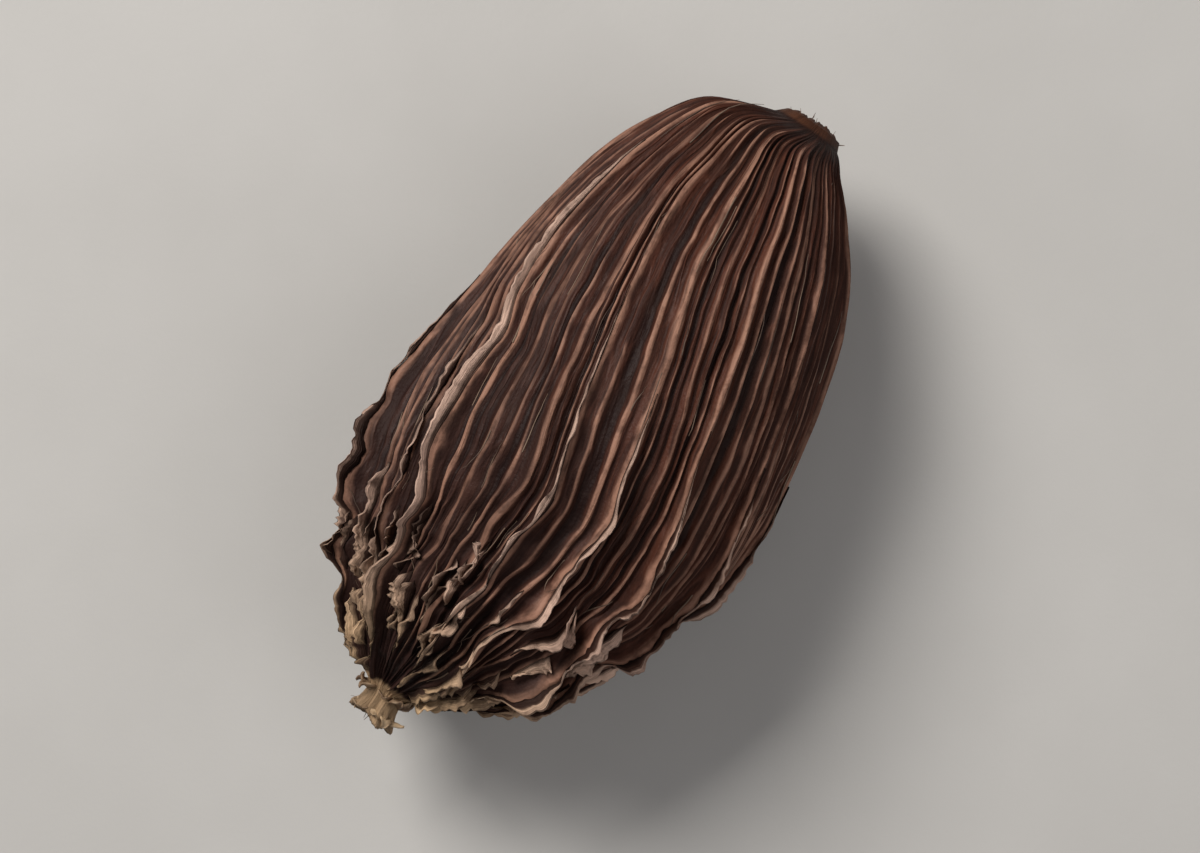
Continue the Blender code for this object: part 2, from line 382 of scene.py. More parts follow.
class Web:
    """Adds nodes to a tree. A value is a number, a word, a tuple or another node's socket."""

    def __init__(self, tree: Tree) -> None:
        """Keeps the tree to add to."""
        self.tree = tree

    def feed(self, socket: Socket, value: Value) -> None:
        """Links an input to a socket, or sets it to a plain value.

        Args:
            socket: The input.
            value: What it takes.
        """
        if isinstance(value, Socket):
            self.tree.links.new(value, socket)
        else:
            socket.default_value = value

    def node(self, kind: str, values: dict[str | int, Value] | None = None, **settings: object) -> Node:
        """One node with its settings and inputs.

        Args:
            kind: The node's type.
            values: Inputs by name or number.
            settings: The node's own properties.

        Returns:
            The node.
        """
        made = self.tree.nodes.new(kind)
        for name, setting in settings.items():
            setattr(made, name, setting)
        for key, value in (values or {}).items():
            self.feed(made.inputs[key], value)
        return made

    def math(self, operation: str, *values: Value) -> Socket:
        """The result of a Math node's operation on the values."""
        return self.node("ShaderNodeMath", dict(enumerate(values)), operation=operation).outputs[0]

    def total(self, *values: Value) -> Socket:
        """The sum of several values."""
        return reduce(lambda first, second: self.math("ADD", first, second), values)

    def product(self, *values: Value) -> Socket:
        """The product of several values."""
        return reduce(lambda first, second: self.math("MULTIPLY", first, second), values)

    def less(self, value: Value, taken: Value) -> Socket:
        """A value with another taken from it."""
        return self.math("SUBTRACT", value, taken)

    def line(self, value: Value, slope: Value, start: Value) -> Socket:
        """A value times a slope, plus a start."""
        return self.math("MULTIPLY_ADD", value, slope, start)

    def blend(self, low: Value, high: Value, share: Value) -> Socket:
        """A number between low and high at a share."""
        return self.line(share, self.less(high, low), low)

    def weighed(self, values: tuple[Value, ...], weights: tuple[float, ...]) -> Socket:
        """The sum of several values, each times its weight."""
        return self.total(*(self.product(*pair) for pair in zip(values, weights)))

    def vector_math(self, operation: str, values: dict[int, Value]) -> Socket:
        """The result of a Vector Math node's operation on numbered inputs."""
        return self.node("ShaderNodeVectorMath", values, operation=operation).outputs[0]

    def scaled(self, vector: Value, factor: Value) -> Socket:
        """A vector times a number."""
        return self.vector_math("SCALE", {0: vector, 3: factor})

    def vector_sum(self, *vectors: Value) -> Socket:
        """The sum of several vectors."""
        return reduce(lambda first, second: self.vector_math("ADD", {0: first, 1: second}), vectors)

    def joined(self, x: Value = 0.0, y: Value = 0.0, z: Value = 0.0) -> Socket:
        """A vector of three numbers."""
        return self.node("ShaderNodeCombineXYZ", {0: x, 1: y, 2: z}).outputs[0]

    def split(self, vector: Value) -> tuple[Socket, ...]:
        """A vector's three numbers."""
        return tuple(self.node("ShaderNodeSeparateXYZ", {0: vector}).outputs)

    def rise(self, value: Value, low: Value, high: Value, start: Value = 0.0, end: Value = 1.0) -> Socket:
        """A smooth step over a value, from start at low to end at high."""
        values = {0: value, 1: low, 2: high, 3: start, 4: end}
        return self.node("ShaderNodeMapRange", values, interpolation_type="SMOOTHSTEP").outputs[0]

    def noise(self, vector: Value, size: Value, detail: float = 1.0, rough: float = 0.5) -> Socket:
        """Noise between 0 and 1 at a place.

        Args:
            vector: The place.
            size: How wide its cells are, in metres.
            detail: How many finer layers it has.
            rough: How strong those are.

        Returns:
            The value's socket.
        """
        scale = self.math("DIVIDE", 1.0, size) if isinstance(size, Socket) else 1.0 / size
        values = {"Vector": vector, "Scale": scale, "Detail": detail, "Roughness": rough}
        return self.node("ShaderNodeTexNoise", values).outputs[0]

    def swing(self, vector: Value, size: Value, detail: float = 1.0) -> Socket:
        """Noise between about -1 and 1 at a place."""
        return self.line(self.noise(vector, size, detail), 2.0, -1.0)

    def crease(self, vector: Value, size: Value, top: float) -> Socket:
        """Sharp ridges with their top where noise passes its middle."""
        return self.less(top, self.math("ABSOLUTE", self.swing(vector, size)))


class NodeGroup(Web):
    """A node group with named inputs and outputs."""

    def __init__(self, name: str, kind: str, takes: dict[str, float | Plug], gives: dict[str, Plug]) -> None:
        """Makes the group and its sockets.

        Args:
            name: The group's name.
            kind: The type of its tree.
            takes: Each input's default, where it is a number, or else its kind.
            gives: Each output's kind.
        """
        super().__init__(bpy.data.node_groups.new(name, kind))
        new_socket = self.tree.interface.new_socket
        for label, given in takes.items():
            plug = given if isinstance(given, Plug) else Plug.NUMBER
            made = new_socket(label, in_out="INPUT", socket_type=plug.value)
            if given is not plug:
                made.default_value = given
        for label, plug in gives.items():
            new_socket(label, in_out="OUTPUT", socket_type=plug.value)
        self.given = self.tree.nodes.new("NodeGroupInput").outputs
        self.result = self.tree.nodes.new("NodeGroupOutput").inputs


class GeometryWeb(NodeGroup):
    """A Geometry Nodes tree. One without outputs of its own takes a piece's points and gives its mesh."""

    def __init__(self, name: str, sizes: dict[str, float], outputs: dict[str, Plug] | None = None) -> None:
        """Makes the tree with a name, number inputs and any outputs of its own."""
        own = {} if outputs else {"Geometry": Plug.GEOMETRY, "Material": Plug.MATERIAL}
        super().__init__(name, "GeometryNodeTree", {**own, **sizes}, outputs or {"Geometry": Plug.GEOMETRY})

    def read(self, held: Field) -> Socket:
        """The value that each point carries under a field's name.

        Args:
            held: The field.

        Returns:
            The value's socket.
        """
        name, kind = held.value
        made = self.node("GeometryNodeInputNamedAttribute", {"Name": name}, data_type=kind)
        return live_socket(made.outputs, "Attribute")

    def store(self, geometry: Socket, held: Field, value: Value) -> Socket:
        """The geometry with a value written to each point.

        Args:
            geometry: The geometry so far.
            held: The field to write.
            value: What it holds.

        Returns:
            The geometry with the value.
        """
        name, kind = held.value
        values = {"Geometry": geometry, "Name": name}
        made = self.node("GeometryNodeStoreNamedAttribute", values, data_type=kind, domain="POINT")
        self.feed(live_socket(made.inputs, "Value"), value)
        return made.outputs[0]

    def moved(self, geometry: Socket, offset: Value) -> Socket:
        """The geometry with its points moved by an offset."""
        return self.node("GeometryNodeSetPosition", {"Geometry": geometry, "Offset": offset}).outputs[0]

    def placed(self, geometry: Socket, place: Value) -> Socket:
        """The geometry with its points set at new places."""
        return self.node("GeometryNodeSetPosition", {"Geometry": geometry, "Position": place}).outputs[0]

    def realized(self, geometry: Socket) -> Socket:
        """The geometry with its copies made real."""
        return self.node("GeometryNodeRealizeInstances", {"Geometry": geometry}).outputs[0]

    def place(self) -> Socket:
        """Each point's place."""
        return self.node("GeometryNodeInputPosition").outputs[0]

    def off_skin(self, out: Value, aside: Value, *first: Value) -> Socket:
        """An offset by distances outwards and sideways from the bare husk, on top of any first offset."""
        ways = self.scaled(self.read(Field.OUTWARD), out), self.scaled(self.read(Field.SIDEWAYS), aside)
        return self.vector_sum(*first, *ways)

    def end(self, geometry: Socket) -> None:
        """Realizes what is left as copies and sets the material, as the tree's last steps."""
        values = {"Geometry": self.realized(geometry), "Material": self.given["Material"]}
        self.feed(self.result["Geometry"], self.node("GeometryNodeSetMaterial", values).outputs[0])

    def grown(self, piece: Piece, start: Mesh, material: Material, sizes: dict[str, float]) -> Thing:
        """Runs the tree and keeps the result as a piece's plain mesh, closed shells facing outwards.

        Args:
            piece: Which piece.
            start: The mesh that the tree starts from.
            material: What the piece is dressed in.
            sizes: Values for the tree's number inputs.

        Returns:
            The piece, in the form's own place.
        """
        thing = new_thing(piece.value, start)
        modifier = thing.modifiers.new(self.tree.name, "NODES")
        modifier.node_group = self.tree
        values = {**sizes, "Material": material}
        for item in self.tree.interface.items_tree:
            if item.in_out == "INPUT" and item.name in values:
                modifier[item.identifier] = values[item.name]
        graph = bpy.context.evaluated_depsgraph_get()
        done = thing.evaluated_get(graph)
        made = bpy.data.meshes.new_from_object(done, preserve_all_data_layers=True, depsgraph=graph)
        made.name = thing.name
        thing.modifiers.remove(modifier)
        shells = bmesh.new()
        shells.from_mesh(made)
        bmesh.ops.recalc_face_normals(shells, faces=shells.faces[:])
        shells.to_mesh(made)
        shells.free()
        made.shade_smooth()
        thing.data = made
        return thing


def new_thing(name: str, data: bpy.types.ID) -> Thing:
    """Adds an object at the origin to the scene.

    Args:
        name: Its name.
        data: Its mesh, light or camera.

    Returns:
        The object.
    """
    thing = bpy.data.objects.new(name, data)
    bpy.context.scene.collection.objects.link(thing)
    return thing


def new_mesh(name: str, places: Array | list, edges: list, faces: list, values: Fields) -> Mesh:
    """A mesh whose points carry values.

    Args:
        name: Its name.
        places: Its points.
        edges: Its loose edges, by points' numbers.
        faces: Its faces, by points' numbers.
        values: An array for each field, one row for each point.

    Returns:
        The mesh.
    """
    mesh = bpy.data.meshes.new(name)
    mesh.from_pydata(places, edges, faces)
    for held, array in values.items():
        label, kind = held.value
        key = "vector" if kind == "FLOAT_VECTOR" else "value"
        row = np.ascontiguousarray(array, dtype=np.float32).ravel()
        mesh.attributes.new(label, kind, "POINT").data.foreach_set(key, row)
    return mesh


def places_of(mesh: Mesh) -> Array:
    """A mesh's points.

    Args:
        mesh: The mesh.

    Returns:
        Rows of three numbers.
    """
    places = np.empty(len(mesh.vertices) * 3, dtype=np.float32)
    mesh.vertices.foreach_get("co", places)
    return places.reshape(-1, 3)


def tube_faces(number: Array) -> list[list[int]]:
    """The faces between neighbouring rings of points.

    Args:
        number: The points' numbers, with the rings as the last axis but one and round them as the last.

    Returns:
        Four points' numbers for each face.
    """
    turned = np.roll(number, -1, axis=-1)
    corners = (number[..., :-1, :], turned[..., :-1, :], turned[..., 1:, :], number[..., 1:, :])
    return np.stack(corners, axis=-1).reshape(-1, 4).tolist()


def set_down(piece: Thing, shift: Vector) -> None:
    """Moves a piece's mesh by the pod's shift, and presses it flat on the surface that the pod lies on.

    Args:
        piece: The piece.
        shift: From the form's own place to the frame's.
    """
    places = places_of(piece.data) + np.array(shift, dtype=np.float32)
    places[:, 2] = np.maximum(places[:, 2], 0.0)
    piece.data.vertices.foreach_set("co", places.ravel())
    piece.data.update()


@dataclass
class RibRelief:
    """How ribs, wings and wrinkles rise from the bare husk: one node group for the husk and the strips."""

    form: PodForm
    rib_height: float = 0.30 * MM
    rib_lead: float = 0.02
    rib_rise: float = 0.20
    wing_height: float = 0.50 * MM
    winged: Ramp = (0.38, 0.82)
    crumpled: Ramp = (0.54, 0.80)
    thinness: float = 3.0
    tooth_length: float = 2.3 * MM
    tooth_depth: float = 0.62
    tooth_swell: Span = (0.35, 0.43)
    tear: float = 0.30
    tear_length: float = 0.55 * MM
    tear_layers: float = 2.0
    strand_step: float = 9.0 * MM
    lean: float = 0.40
    lean_length: float = 3.9 * MM
    from_scar: Ramp = (0.0, 0.06)
    to_stub: Ramp = (0.84, 1.0, 1.0, 0.30)
    fine_count: float = 1.5
    fine_height: float = 0.27 * MM
    fine_shift: float = 0.16
    fine_shift_size: float = 2.4 * MM
    fine_crispness: float = 2.2
    fine_patch_size: float = 1.5 * MM
    fine_patches: Ramp = (0.30, 0.60, 0.45, 1.0)
    fine_flank: Ramp = (0.06, 0.22)
    fine_from_scar: Ramp = (0.01, 0.08)
    fine_to_stub: Ramp = (0.90, 1.0, 1.0, 0.4)
    fine_crest: float = 0.90
    striation: float = 0.19 * MM
    striation_width: float = 0.42 * MM
    striation_top: float = 0.3
    dent: float = 0.16 * MM
    dent_size: float = 2.6 * MM
    crinkle: float = 0.26 * MM
    crinkle_size: float = 1.15 * MM
    crinkle_top: float = 0.5
    sway: float = 0.30 * MM
    sway_size: float = 1.7 * MM
    least_loose: float = 0.35

    def sizes(self) -> dict[str, float]:
        """The group's number inputs, by name."""
        return {
            "Husk Length": self.form.length,
            "Rib Height": self.rib_height,
            "Wing Height": self.wing_height,
            "Tooth Depth": self.tooth_depth,
            "Lean": self.lean,
            "Tear": self.tear,
            "Fine Rib Height": self.fine_height,
            "Striation Height": self.striation,
            "Dent Depth": self.dent,
            "Crinkle Depth": self.crinkle,
            "Sway": self.sway,
        }

    def tree(self) -> Tree:
        """Builds the node group.

        Returns:
            The group, which gives each point's offset and how much of a crest it is.
        """
        web = GeometryWeb("rib_relief", self.sizes(), {"Offset": Plug.VECTOR, "Crest": Plug.NUMBER})
        given, place, grain, skin = web.given, web.place(), web.read(Field.GRAIN), web.read(Field.SKIN)
        along, aside = web.read(Field.ALONG), web.math("ABSOLUTE", web.read(Field.ACROSS))
        travelled = web.product(along, given["Husk Length"])
        crumple = web.rise(along, *self.crumpled)
        ends = web.product(web.rise(along, *self.from_scar), web.rise(along, *self.to_stub))
        height = web.product(self.crest_height(web, along, travelled, crumple), ends)
        share = web.math("POWER", web.less(1.0, aside), self.thinness)
        fine = self.fine_ribs(web, along, aside, grain)
        fold = web.crease(grain, self.striation_width, self.striation_top)
        striae = web.product(fold, given["Striation Height"], ends, web.math("SQRT", skin))
        loose = web.blend(self.least_loose, 1.0, crumple)
        dents = web.product(web.swing(place, self.dent_size), given["Dent Depth"], loose, skin)
        crease = web.crease(place, self.crinkle_size, self.crinkle_top)
        creases = web.product(crease, given["Crinkle Depth"], crumple, skin, web.less(1.0, share))
        ribs = web.total(web.product(height, share), web.product(fine, given["Fine Rib Height"]))
        leaning = web.math("SINE", web.line(travelled, TURN / self.lean_length, web.read(Field.DRIFT)))
        lean = web.product(leaning, given["Lean"], crumple, web.read(Field.ROOM), share, skin)
        sway = web.product(web.swing(place, self.sway_size), given["Sway"], loose, skin, ends)
        offset = web.off_skin(web.total(ribs, striae, dents, creases), web.total(lean, sway))
        web.feed(web.result["Offset"], offset)
        crest = web.math("MAXIMUM", web.product(share, ends, skin), web.product(fine, self.fine_crest))
        web.feed(web.result["Crest"], crest)
        return web.tree

    def crest_height(self, web: GeometryWeb, along: Socket, travelled: Socket, crumple: Socket) -> Socket:
        """A rib's height at its crest, with its teeth and its torn edge.

        Args:
            web: The group being built.
            along: Share of the husk's length.
            travelled: Distance from the scar.
            crumple: Share of the full crumpling there.

        Returns:
            The height, before it fades at the ends.
        """
        given, drift, start = web.given, web.read(Field.DRIFT), web.read(Field.START)
        turns = web.product(travelled, web.read(Field.TOOTH), TURN / self.tooth_length)
        phase = web.total(turns, web.read(Field.WAVE))
        depth, pitch = self.tooth_swell
        swell = web.line(web.math("SINE", web.line(phase, pitch, drift)), depth, 1.0 - depth)
        notch = web.product(web.line(web.math("SINE", phase), 0.5, 0.5), swell)
        teeth = web.less(1.0, web.product(given["Tooth Depth"], crumple, notch))
        strand = web.joined(travelled, web.product(drift, self.strand_step))
        ragged = web.product(web.swing(strand, self.tear_length, self.tear_layers), crumple)
        torn = web.line(ragged, given["Tear"], 1.0)
        rise = web.rise(along, web.less(start, self.rib_lead), web.total(start, self.rib_rise))
        low = web.line(given["Wing Height"], web.rise(along, *self.winged), given["Rib Height"])
        return web.product(low, web.read(Field.SIZE), teeth, torn, rise)

    def fine_ribs(self, web: GeometryWeb, along: Socket, aside: Socket, grain: Socket) -> Socket:
        """The thin ribs that run on each flank between a crest and the furrow beside it.

        Args:
            web: The group being built.
            along: Share of the husk's length.
            aside: Place between a crest at 0 and a furrow at 1.
            grain: The place in the grain's own room.

        Returns:
            Their share of the full height.
        """
        shifted = web.line(web.swing(grain, self.fine_shift_size), self.fine_shift, aside)
        comb = web.math("COSINE", web.product(shifted, TURN * self.fine_count))
        crisp = web.math("POWER", web.line(comb, 0.5, 0.5), self.fine_crispness)
        patchy = web.rise(web.noise(grain, self.fine_patch_size), *self.fine_patches)
        flank = web.rise(aside, *self.fine_flank)
        shown = web.product(web.rise(along, *self.fine_from_scar), web.rise(along, *self.fine_to_stub))
        return web.product(crisp, patchy, flank, shown, web.read(Field.SKIN))

    def inside(self, web: GeometryWeb, group: Tree) -> Sockets:
        """This relief's outputs in another tree, fed from that tree's inputs of the same names."""
        values = {name: web.given[name] for name in self.sizes()}
        return web.node("GeometryNodeGroup", values, node_tree=group).outputs


@dataclass
class Lattice:
    """Points of the bare husk in rows along it, with the values that the relief reads."""

    form: PodForm
    grain_stretch: float = 0.10

    def fields(self, angles: Array, numbers: Array, across: Array) -> tuple[Array, Fields]:
        """The points at some meridian angles, ribs and places between furrows.

        Args:
            angles: Meridian angles, rows by columns or by 1.
            numbers: The rib that each column belongs to.
            across: Each column's place, -1 and 1 at the furrows and 0 on the crest.

        Returns:
            The places and their fields, rows first.
        """
        form = self.form
        along, _ = form.meridian(angles)
        crests = form.crest_angles(along, numbers)
        before = turn_between(form.crest_angles(along, numbers - 1), crests) / 2
        after = turn_between(crests, form.crest_angles(along, numbers + 1)) / 2
        room = np.where(across < 0.0, before, after)
        around = crests + room * across
        angle, spread = np.broadcast_to(angles, around.shape), np.broadcast_to(along, around.shape)
        outward, sideways, reach = form.directions(angle, around)
        names = ("size", "start", "wave", "drift", "tooth", "tone")
        facts = {Field[name.upper()]: form.facts(name, numbers) for name in names}
        return form.bare(angle, around), {
            Field.ALONG: spread,
            Field.ACROSS: np.broadcast_to(across, around.shape),
            Field.ROOM: room * reach,
            Field.SKIN: np.ones_like(around),
            Field.OUTWARD: outward,
            Field.SIDEWAYS: sideways,
            Field.GRAIN: self.grain(spread, numbers + across / 2),
            **{held: np.broadcast_to(values, around.shape) for held, values in facts.items()},
        }

    def grain(self, along: Array, column: Array) -> Array:
        """Places in a room where the fibres run straight, with no seam round the husk.

        Args:
            along: Share of the husk's length at each point.
            column: Rib number plus half the place across, for each column.

        Returns:
            The places.
        """
        turn = np.broadcast_to(TURN * column / self.form.rib_count, along.shape)
        radius = self.form.width / 2
        travelled = along * self.form.length * self.grain_stretch
        return np.stack((radius * np.cos(turn), radius * np.sin(turn), travelled), axis=-1)


@dataclass
class RibbedHusk:
    """The whole skin of the pod: the ribbed husk, the scar's dish and the stub's tube, as one closed mesh."""

    form: PodForm
    relief: RibRelief
    rows: int = 167
    columns_per_rib: int = 20
    crest_crowding: float = 1.05
    end_skin: float = 0.18
    scar_profile: tuple[Span, ...] = (
        (0.10, 1.24), (0.30, 1.08), (0.75, 0.94), (0.95, 0.84),
        (0.45, 0.74), (-0.40, 0.58), (-0.95, 0.40), (-1.0, 0.18),
    )
    stub_profile: tuple[Span, ...] = (
        (-0.16, 1.34), (-0.08, 1.15), (0.06, 1.04), (0.22, 0.98), (0.40, 0.98), (0.58, 1.04), (0.76, 1.12),
        (0.92, 1.20), (1.0, 1.16), (0.86, 1.00), (0.62, 0.84), (0.46, 0.60), (0.42, 0.30),
    )
    stub_lobes: int = 5
    lobe_depth: float = 0.17
    lobe_turn: float = 0.8
    stub_wrinkles: int = 13
    wrinkle_depth: float = 0.09
    wrinkle_slant: float = 3.0
    rim_waves: Span = (2.0, 3.0)
    stub_notch: float = 0.34
    scar_notch: float = 0.75
    scar_tears: Span = (13.0, 29.0)
    scar_shares: tuple[float, float, float] = (0.5, 0.3, 0.2)
    tear_slant: float = 2.0

    def columns(self) -> tuple[Array, Array]:
        """The rib that each column belongs to, and its place across that rib.

        Returns:
            Both, one value for each column.
        """
        steps = np.arange(self.columns_per_rib) / (self.columns_per_rib / 2) - 1.0
        across = np.sign(steps) * np.abs(steps) ** self.crest_crowding
        ribs = np.repeat(np.arange(self.form.rib_count), self.columns_per_rib)
        return ribs, np.tile(across, self.form.rib_count)

    def rim(self, end: End, turns: Array) -> Array:
        """How far the rim of the scar or the stub reaches, uneven all round.

        Args:
            end: Which end.
            turns: Angles round the husk.

        Returns:
            Shares of the full reach.
        """
        waves, bend = self.rim_waves
        uneven, notch = np.sin(waves * turns + bend * np.sin(turns)), self.stub_notch
        if end is End.SCAR:
            (broad, fine), (low, middle, high) = self.scar_tears, self.scar_shares
            torn = middle * np.sin(broad * turns + self.tear_slant * uneven)
            uneven, notch = low * uneven + torn + high * np.sin(fine * turns), self.scar_notch
        return 1.0 - notch * (0.5 + 0.5 * uneven)

    def end_rings(self, end: End, husk: Fields) -> tuple[Array, Fields]:
        """Rings of the scar or the stub, going away from the husk.

        Args:
            end: Which end.
            husk: The husk's own fields, whose end row they carry on.

        Returns:
            The places and their fields.
        """
        form, stub = self.form, end is End.STUB
        profile = self.stub_profile if stub else self.scar_profile
        deep, radius = (form.stub_length, form.stub_radius) if stub else (form.scar_depth, form.scar_radius)
        numbers, across = self.columns()
        at_end = np.full((1, 1), end.value)
        turns = form.crest_angles(at_end, numbers)
        ahead = np.where(across < 0.0, -1, 1)
        turns = turns + np.abs(across) * turn_between(turns, form.crest_angles(at_end, numbers + ahead)) / 2
        out, share = (np.array(values)[:, None] for values in zip(*profile))
        lobes = self.lobe_depth * np.cos(self.stub_lobes * turns + self.lobe_turn)
        wrinkles = self.wrinkle_depth * np.cos(self.stub_wrinkles * turns + self.wrinkle_slant * out)
        reach = share * radius * (1.0 + stub * (lobes + wrinkles) * np.clip(out, 0.0, 1.0))
        away = form.length / 2 + np.where(out > 0.0, out * self.rim(end, turns), out) * deep
        x = (1.0 if stub else -1.0) * away * np.ones_like(turns)
        y = float(form.centre_line(end.value)) + reach * np.cos(turns)
        row = -1 if stub else 0
        fields = {held: np.repeat(values[row][None], len(profile), axis=0) for held, values in husk.items()}
        fields[Field.SIZE] = np.zeros_like(fields[Field.SIZE])
        fields[Field.SKIN] = np.full_like(fields[Field.SKIN], self.end_skin)
        past = np.arange(1, len(profile) + 1)[:, None] / len(profile)
        fields[Field.ALONG] = np.broadcast_to(1.0 + past if stub else -past, fields[Field.ALONG].shape)
        return np.stack((x, y, reach * np.sin(turns)), axis=-1), fields

    def bare_mesh(self) -> Mesh:
        """Builds the bare husk with its ends.

        Returns:
            The closed mesh, carrying every field.
        """
        angles = self.form.husk_angles(self.rows)[:, None]
        places, fields = Lattice(self.form).fields(angles, *self.columns())
        scar, scar_fields = self.end_rings(End.SCAR, fields)
        stub, stub_fields = self.end_rings(End.STUB, fields)
        grid = np.concatenate((scar[::-1], places, stub))
        number = np.arange(grid[..., 0].size).reshape(grid.shape[:2])
        right = np.roll(number, -1, axis=1)
        first = [(number.size, *pair) for pair in zip(right[0].tolist(), number[0].tolist())]
        last = [(number.size + 1, *pair) for pair in zip(number[-1].tolist(), right[-1].tolist())]
        carried = {}
        for held, values in fields.items():
            whole = np.concatenate((scar_fields[held][::-1], values, stub_fields[held]))
            flat = whole.reshape(number.size, -1)
            carried[held] = np.concatenate((flat, flat[:1], flat[-1:]))
        poles = np.stack((grid[0].mean(axis=0), grid[-1].mean(axis=0)))
        places = np.concatenate((grid.reshape(-1, 3), poles))
        return new_mesh("bare_husk", places, [], [*tube_faces(number), *first, *last], carried)

    def skin_grid(self, husk: Thing) -> Array:
        """The finished husk's points between the scar and the stub.

        Args:
            husk: The husk.

        Returns:
            The points, rows by columns.
        """
        columns = self.columns_per_rib * self.form.rib_count
        first = len(self.scar_profile) * columns
        return places_of(husk.data)[first : first + self.rows * columns].reshape(self.rows, columns, 3)

    def build(self, group: Tree, material: Material) -> Thing:
        """Builds the husk in the form's own place.

        Args:
            group: The relief's node group.
            material: Its finish.

        Returns:
            The piece.
        """
        sizes = self.relief.sizes()
        web = GeometryWeb("ribbed_husk", sizes)
        raised = self.relief.inside(web, group)
        geometry = web.store(web.given["Geometry"], Field.CREST, raised["Crest"])
        web.end(web.moved(geometry, raised["Offset"]))
        return web.grown(Piece.HUSK, self.bare_mesh(), material, sizes)


@dataclass(frozen=True)
class Strip:
    """Where a papery strip grows on its rib, how far along the husk, how tall, and how pale and unbroken."""

    rib: int
    across: float
    first: float
    last: float
    tall: float
    tone: float


@dataclass
class PaperStrips:
    """Thin, torn, curled strips that stand on the skin."""

    relief: RibRelief
    piece: Piece
    strips: list[Strip]
    rows: int
    height: float
    thickness: float
    curl: float
    ruffle_length: float
    whole_from: float
    grow: float
    fade: float
    upright: float = 1.0
    upright_tones: Span = (0.75, 1.0)
    whole_at: float = 0.62
    unbroken: Ramp = (0.75, 1.0, 0.06, 0.85)
    nibbles: float = 4.6
    nibble_layers: float = 2.0
    nibbled: Ramp = (0.30, 0.60, 0.62, 1.05)
    lane_by_drift: float = 5.0 * MM
    lane_by_place: float = 3.0 * MM
    wave_room: tuple[float, float, float] = (7.3 * MM, 2.1 * MM, 4.4 * MM)
    wave_reach: float = 1.5
    veins: float = 1.3 * MM
    vein_depth: float = 1.3 * MM / 4.0
    thin_ends: float = 0.15
    torn_wall: float = 0.4
    end_wall: float = 0.25
    end_crest: float = 0.12
    section: tuple[Span, ...] = (
        (-0.45, -1.3), (0.15, -1.0), (0.55, -0.75), (0.85, -0.5), (1.0, 0.0),
        (0.85, 0.5), (0.55, 0.75), (0.15, 1.0), (-0.45, 1.3),
    )

    @classmethod
    def margins(cls, relief: RibRelief) -> "PaperStrips":
        """The margins on the crests of the larger ribs.

        Args:
            relief: What they stand on.

        Returns:
            The margins.
        """
        least, first, last = 0.72, 0.44, 0.955
        early = {8: 0.34, 11: 0.16}
        strips = [
            Strip(number, 0.0, early.get(number, first), last, math.sqrt(rib.size), rib.tone)
            for number, rib in enumerate(relief.form.ribs)
            if rib.size >= least
        ]
        return cls(
            relief,
            Piece.MARGINS,
            strips,
            rows=150,
            height=0.30 * MM,
            thickness=0.050 * MM,
            curl=0.32 * MM,
            ruffle_length=1.25 * MM,
            whole_from=0.34,
            grow=0.28,
            fade=0.80,
            upright=0.25,
        )

    @classmethod
    def frills(cls, relief: RibRelief) -> "PaperStrips":
        """The short crumpled frills between the ribs, close to the apex.

        Args:
            relief: What they stand on.

        Returns:
            The frills.
        """
        seed, lanes, jitter, heights = 37, (-0.66, -0.22, 0.2, 0.62), (-0.16, 0.16), (0.4, 1.25)
        starts, lengths, furthest = (0.71, 0.91), (0.05, 0.13), 0.978
        least_tone, tone_range, tone_skew = 0.06, 0.84, 1.6
        draw = random.Random(seed)
        strips = []
        for number in range(relief.form.rib_count):
            for across in lanes:
                first = draw.uniform(*starts)
                last = min(first + draw.uniform(*lengths), furthest)
                place, tall = across + draw.uniform(*jitter), draw.uniform(*heights)
                tone = least_tone + tone_range * draw.random() ** tone_skew
                strips.append(Strip(number, place, first, last, tall, tone))
        return cls(
            relief,
            Piece.FRILLS,
            strips,
            rows=30,
            height=0.60 * MM,
            thickness=0.055 * MM,
            curl=0.66 * MM,
            ruffle_length=0.80 * MM,
            whole_from=0.26,
            grow=0.22,
            fade=0.78,
        )

    def sizes(self) -> dict[str, float]:
        """The tree's number inputs, by name."""
        own = {"Strip Height": self.height, "Thickness": self.thickness, "Curl": self.curl}
        return {**self.relief.sizes(), **own}

    def each(self, name: str) -> Array:
        """One named fact of each strip."""
        return np.array([getattr(strip, name) for strip in self.strips])

    def bare_mesh(self) -> Mesh:
        """Builds closed strips with all their points still on the bare husk.

        Returns:
            The mesh, carrying every field.
        """
        form = self.relief.form
        life = np.linspace(0.0, 1.0, self.rows)[:, None]
        limits = (self.each("first"), self.each("last"))
        first, last = (np.array([form.angle_at(along) for along in limit]) for limit in limits)
        angles = first + (last - first) * life
        places, fields = Lattice(form).fields(angles, self.each("rib"), self.each("across"))
        own = {Field.LIFE: life, Field.TALL: self.each("tall"), Field.TONE: self.each("tone")}
        fields |= {held: np.broadcast_to(values, places.shape[:2]) for held, values in own.items()}
        sides = len(self.section)
        shape = (len(self.strips), self.rows, sides)

        def round_section(values: Array) -> Array:
            """Values of each strip's rows, repeated for every side of its section."""
            return np.repeat(np.swapaxes(values, 0, 1)[:, :, None], sides, axis=2)

        carried = {held: round_section(values) for held, values in fields.items()}
        up, side = (np.array(values) for values in zip(*self.section))
        carried[Field.UP], carried[Field.SIDE] = np.broadcast_to(up, shape), np.broadcast_to(side, shape)
        number = np.arange(math.prod(shape)).reshape(shape)
        ends = [*number[:, 0].tolist(), *number[:, -1, ::-1].tolist()]
        grid = round_section(places).reshape(-1, 3)
        return new_mesh("bare_strips", grid, [], [*tube_faces(number), *ends], carried)

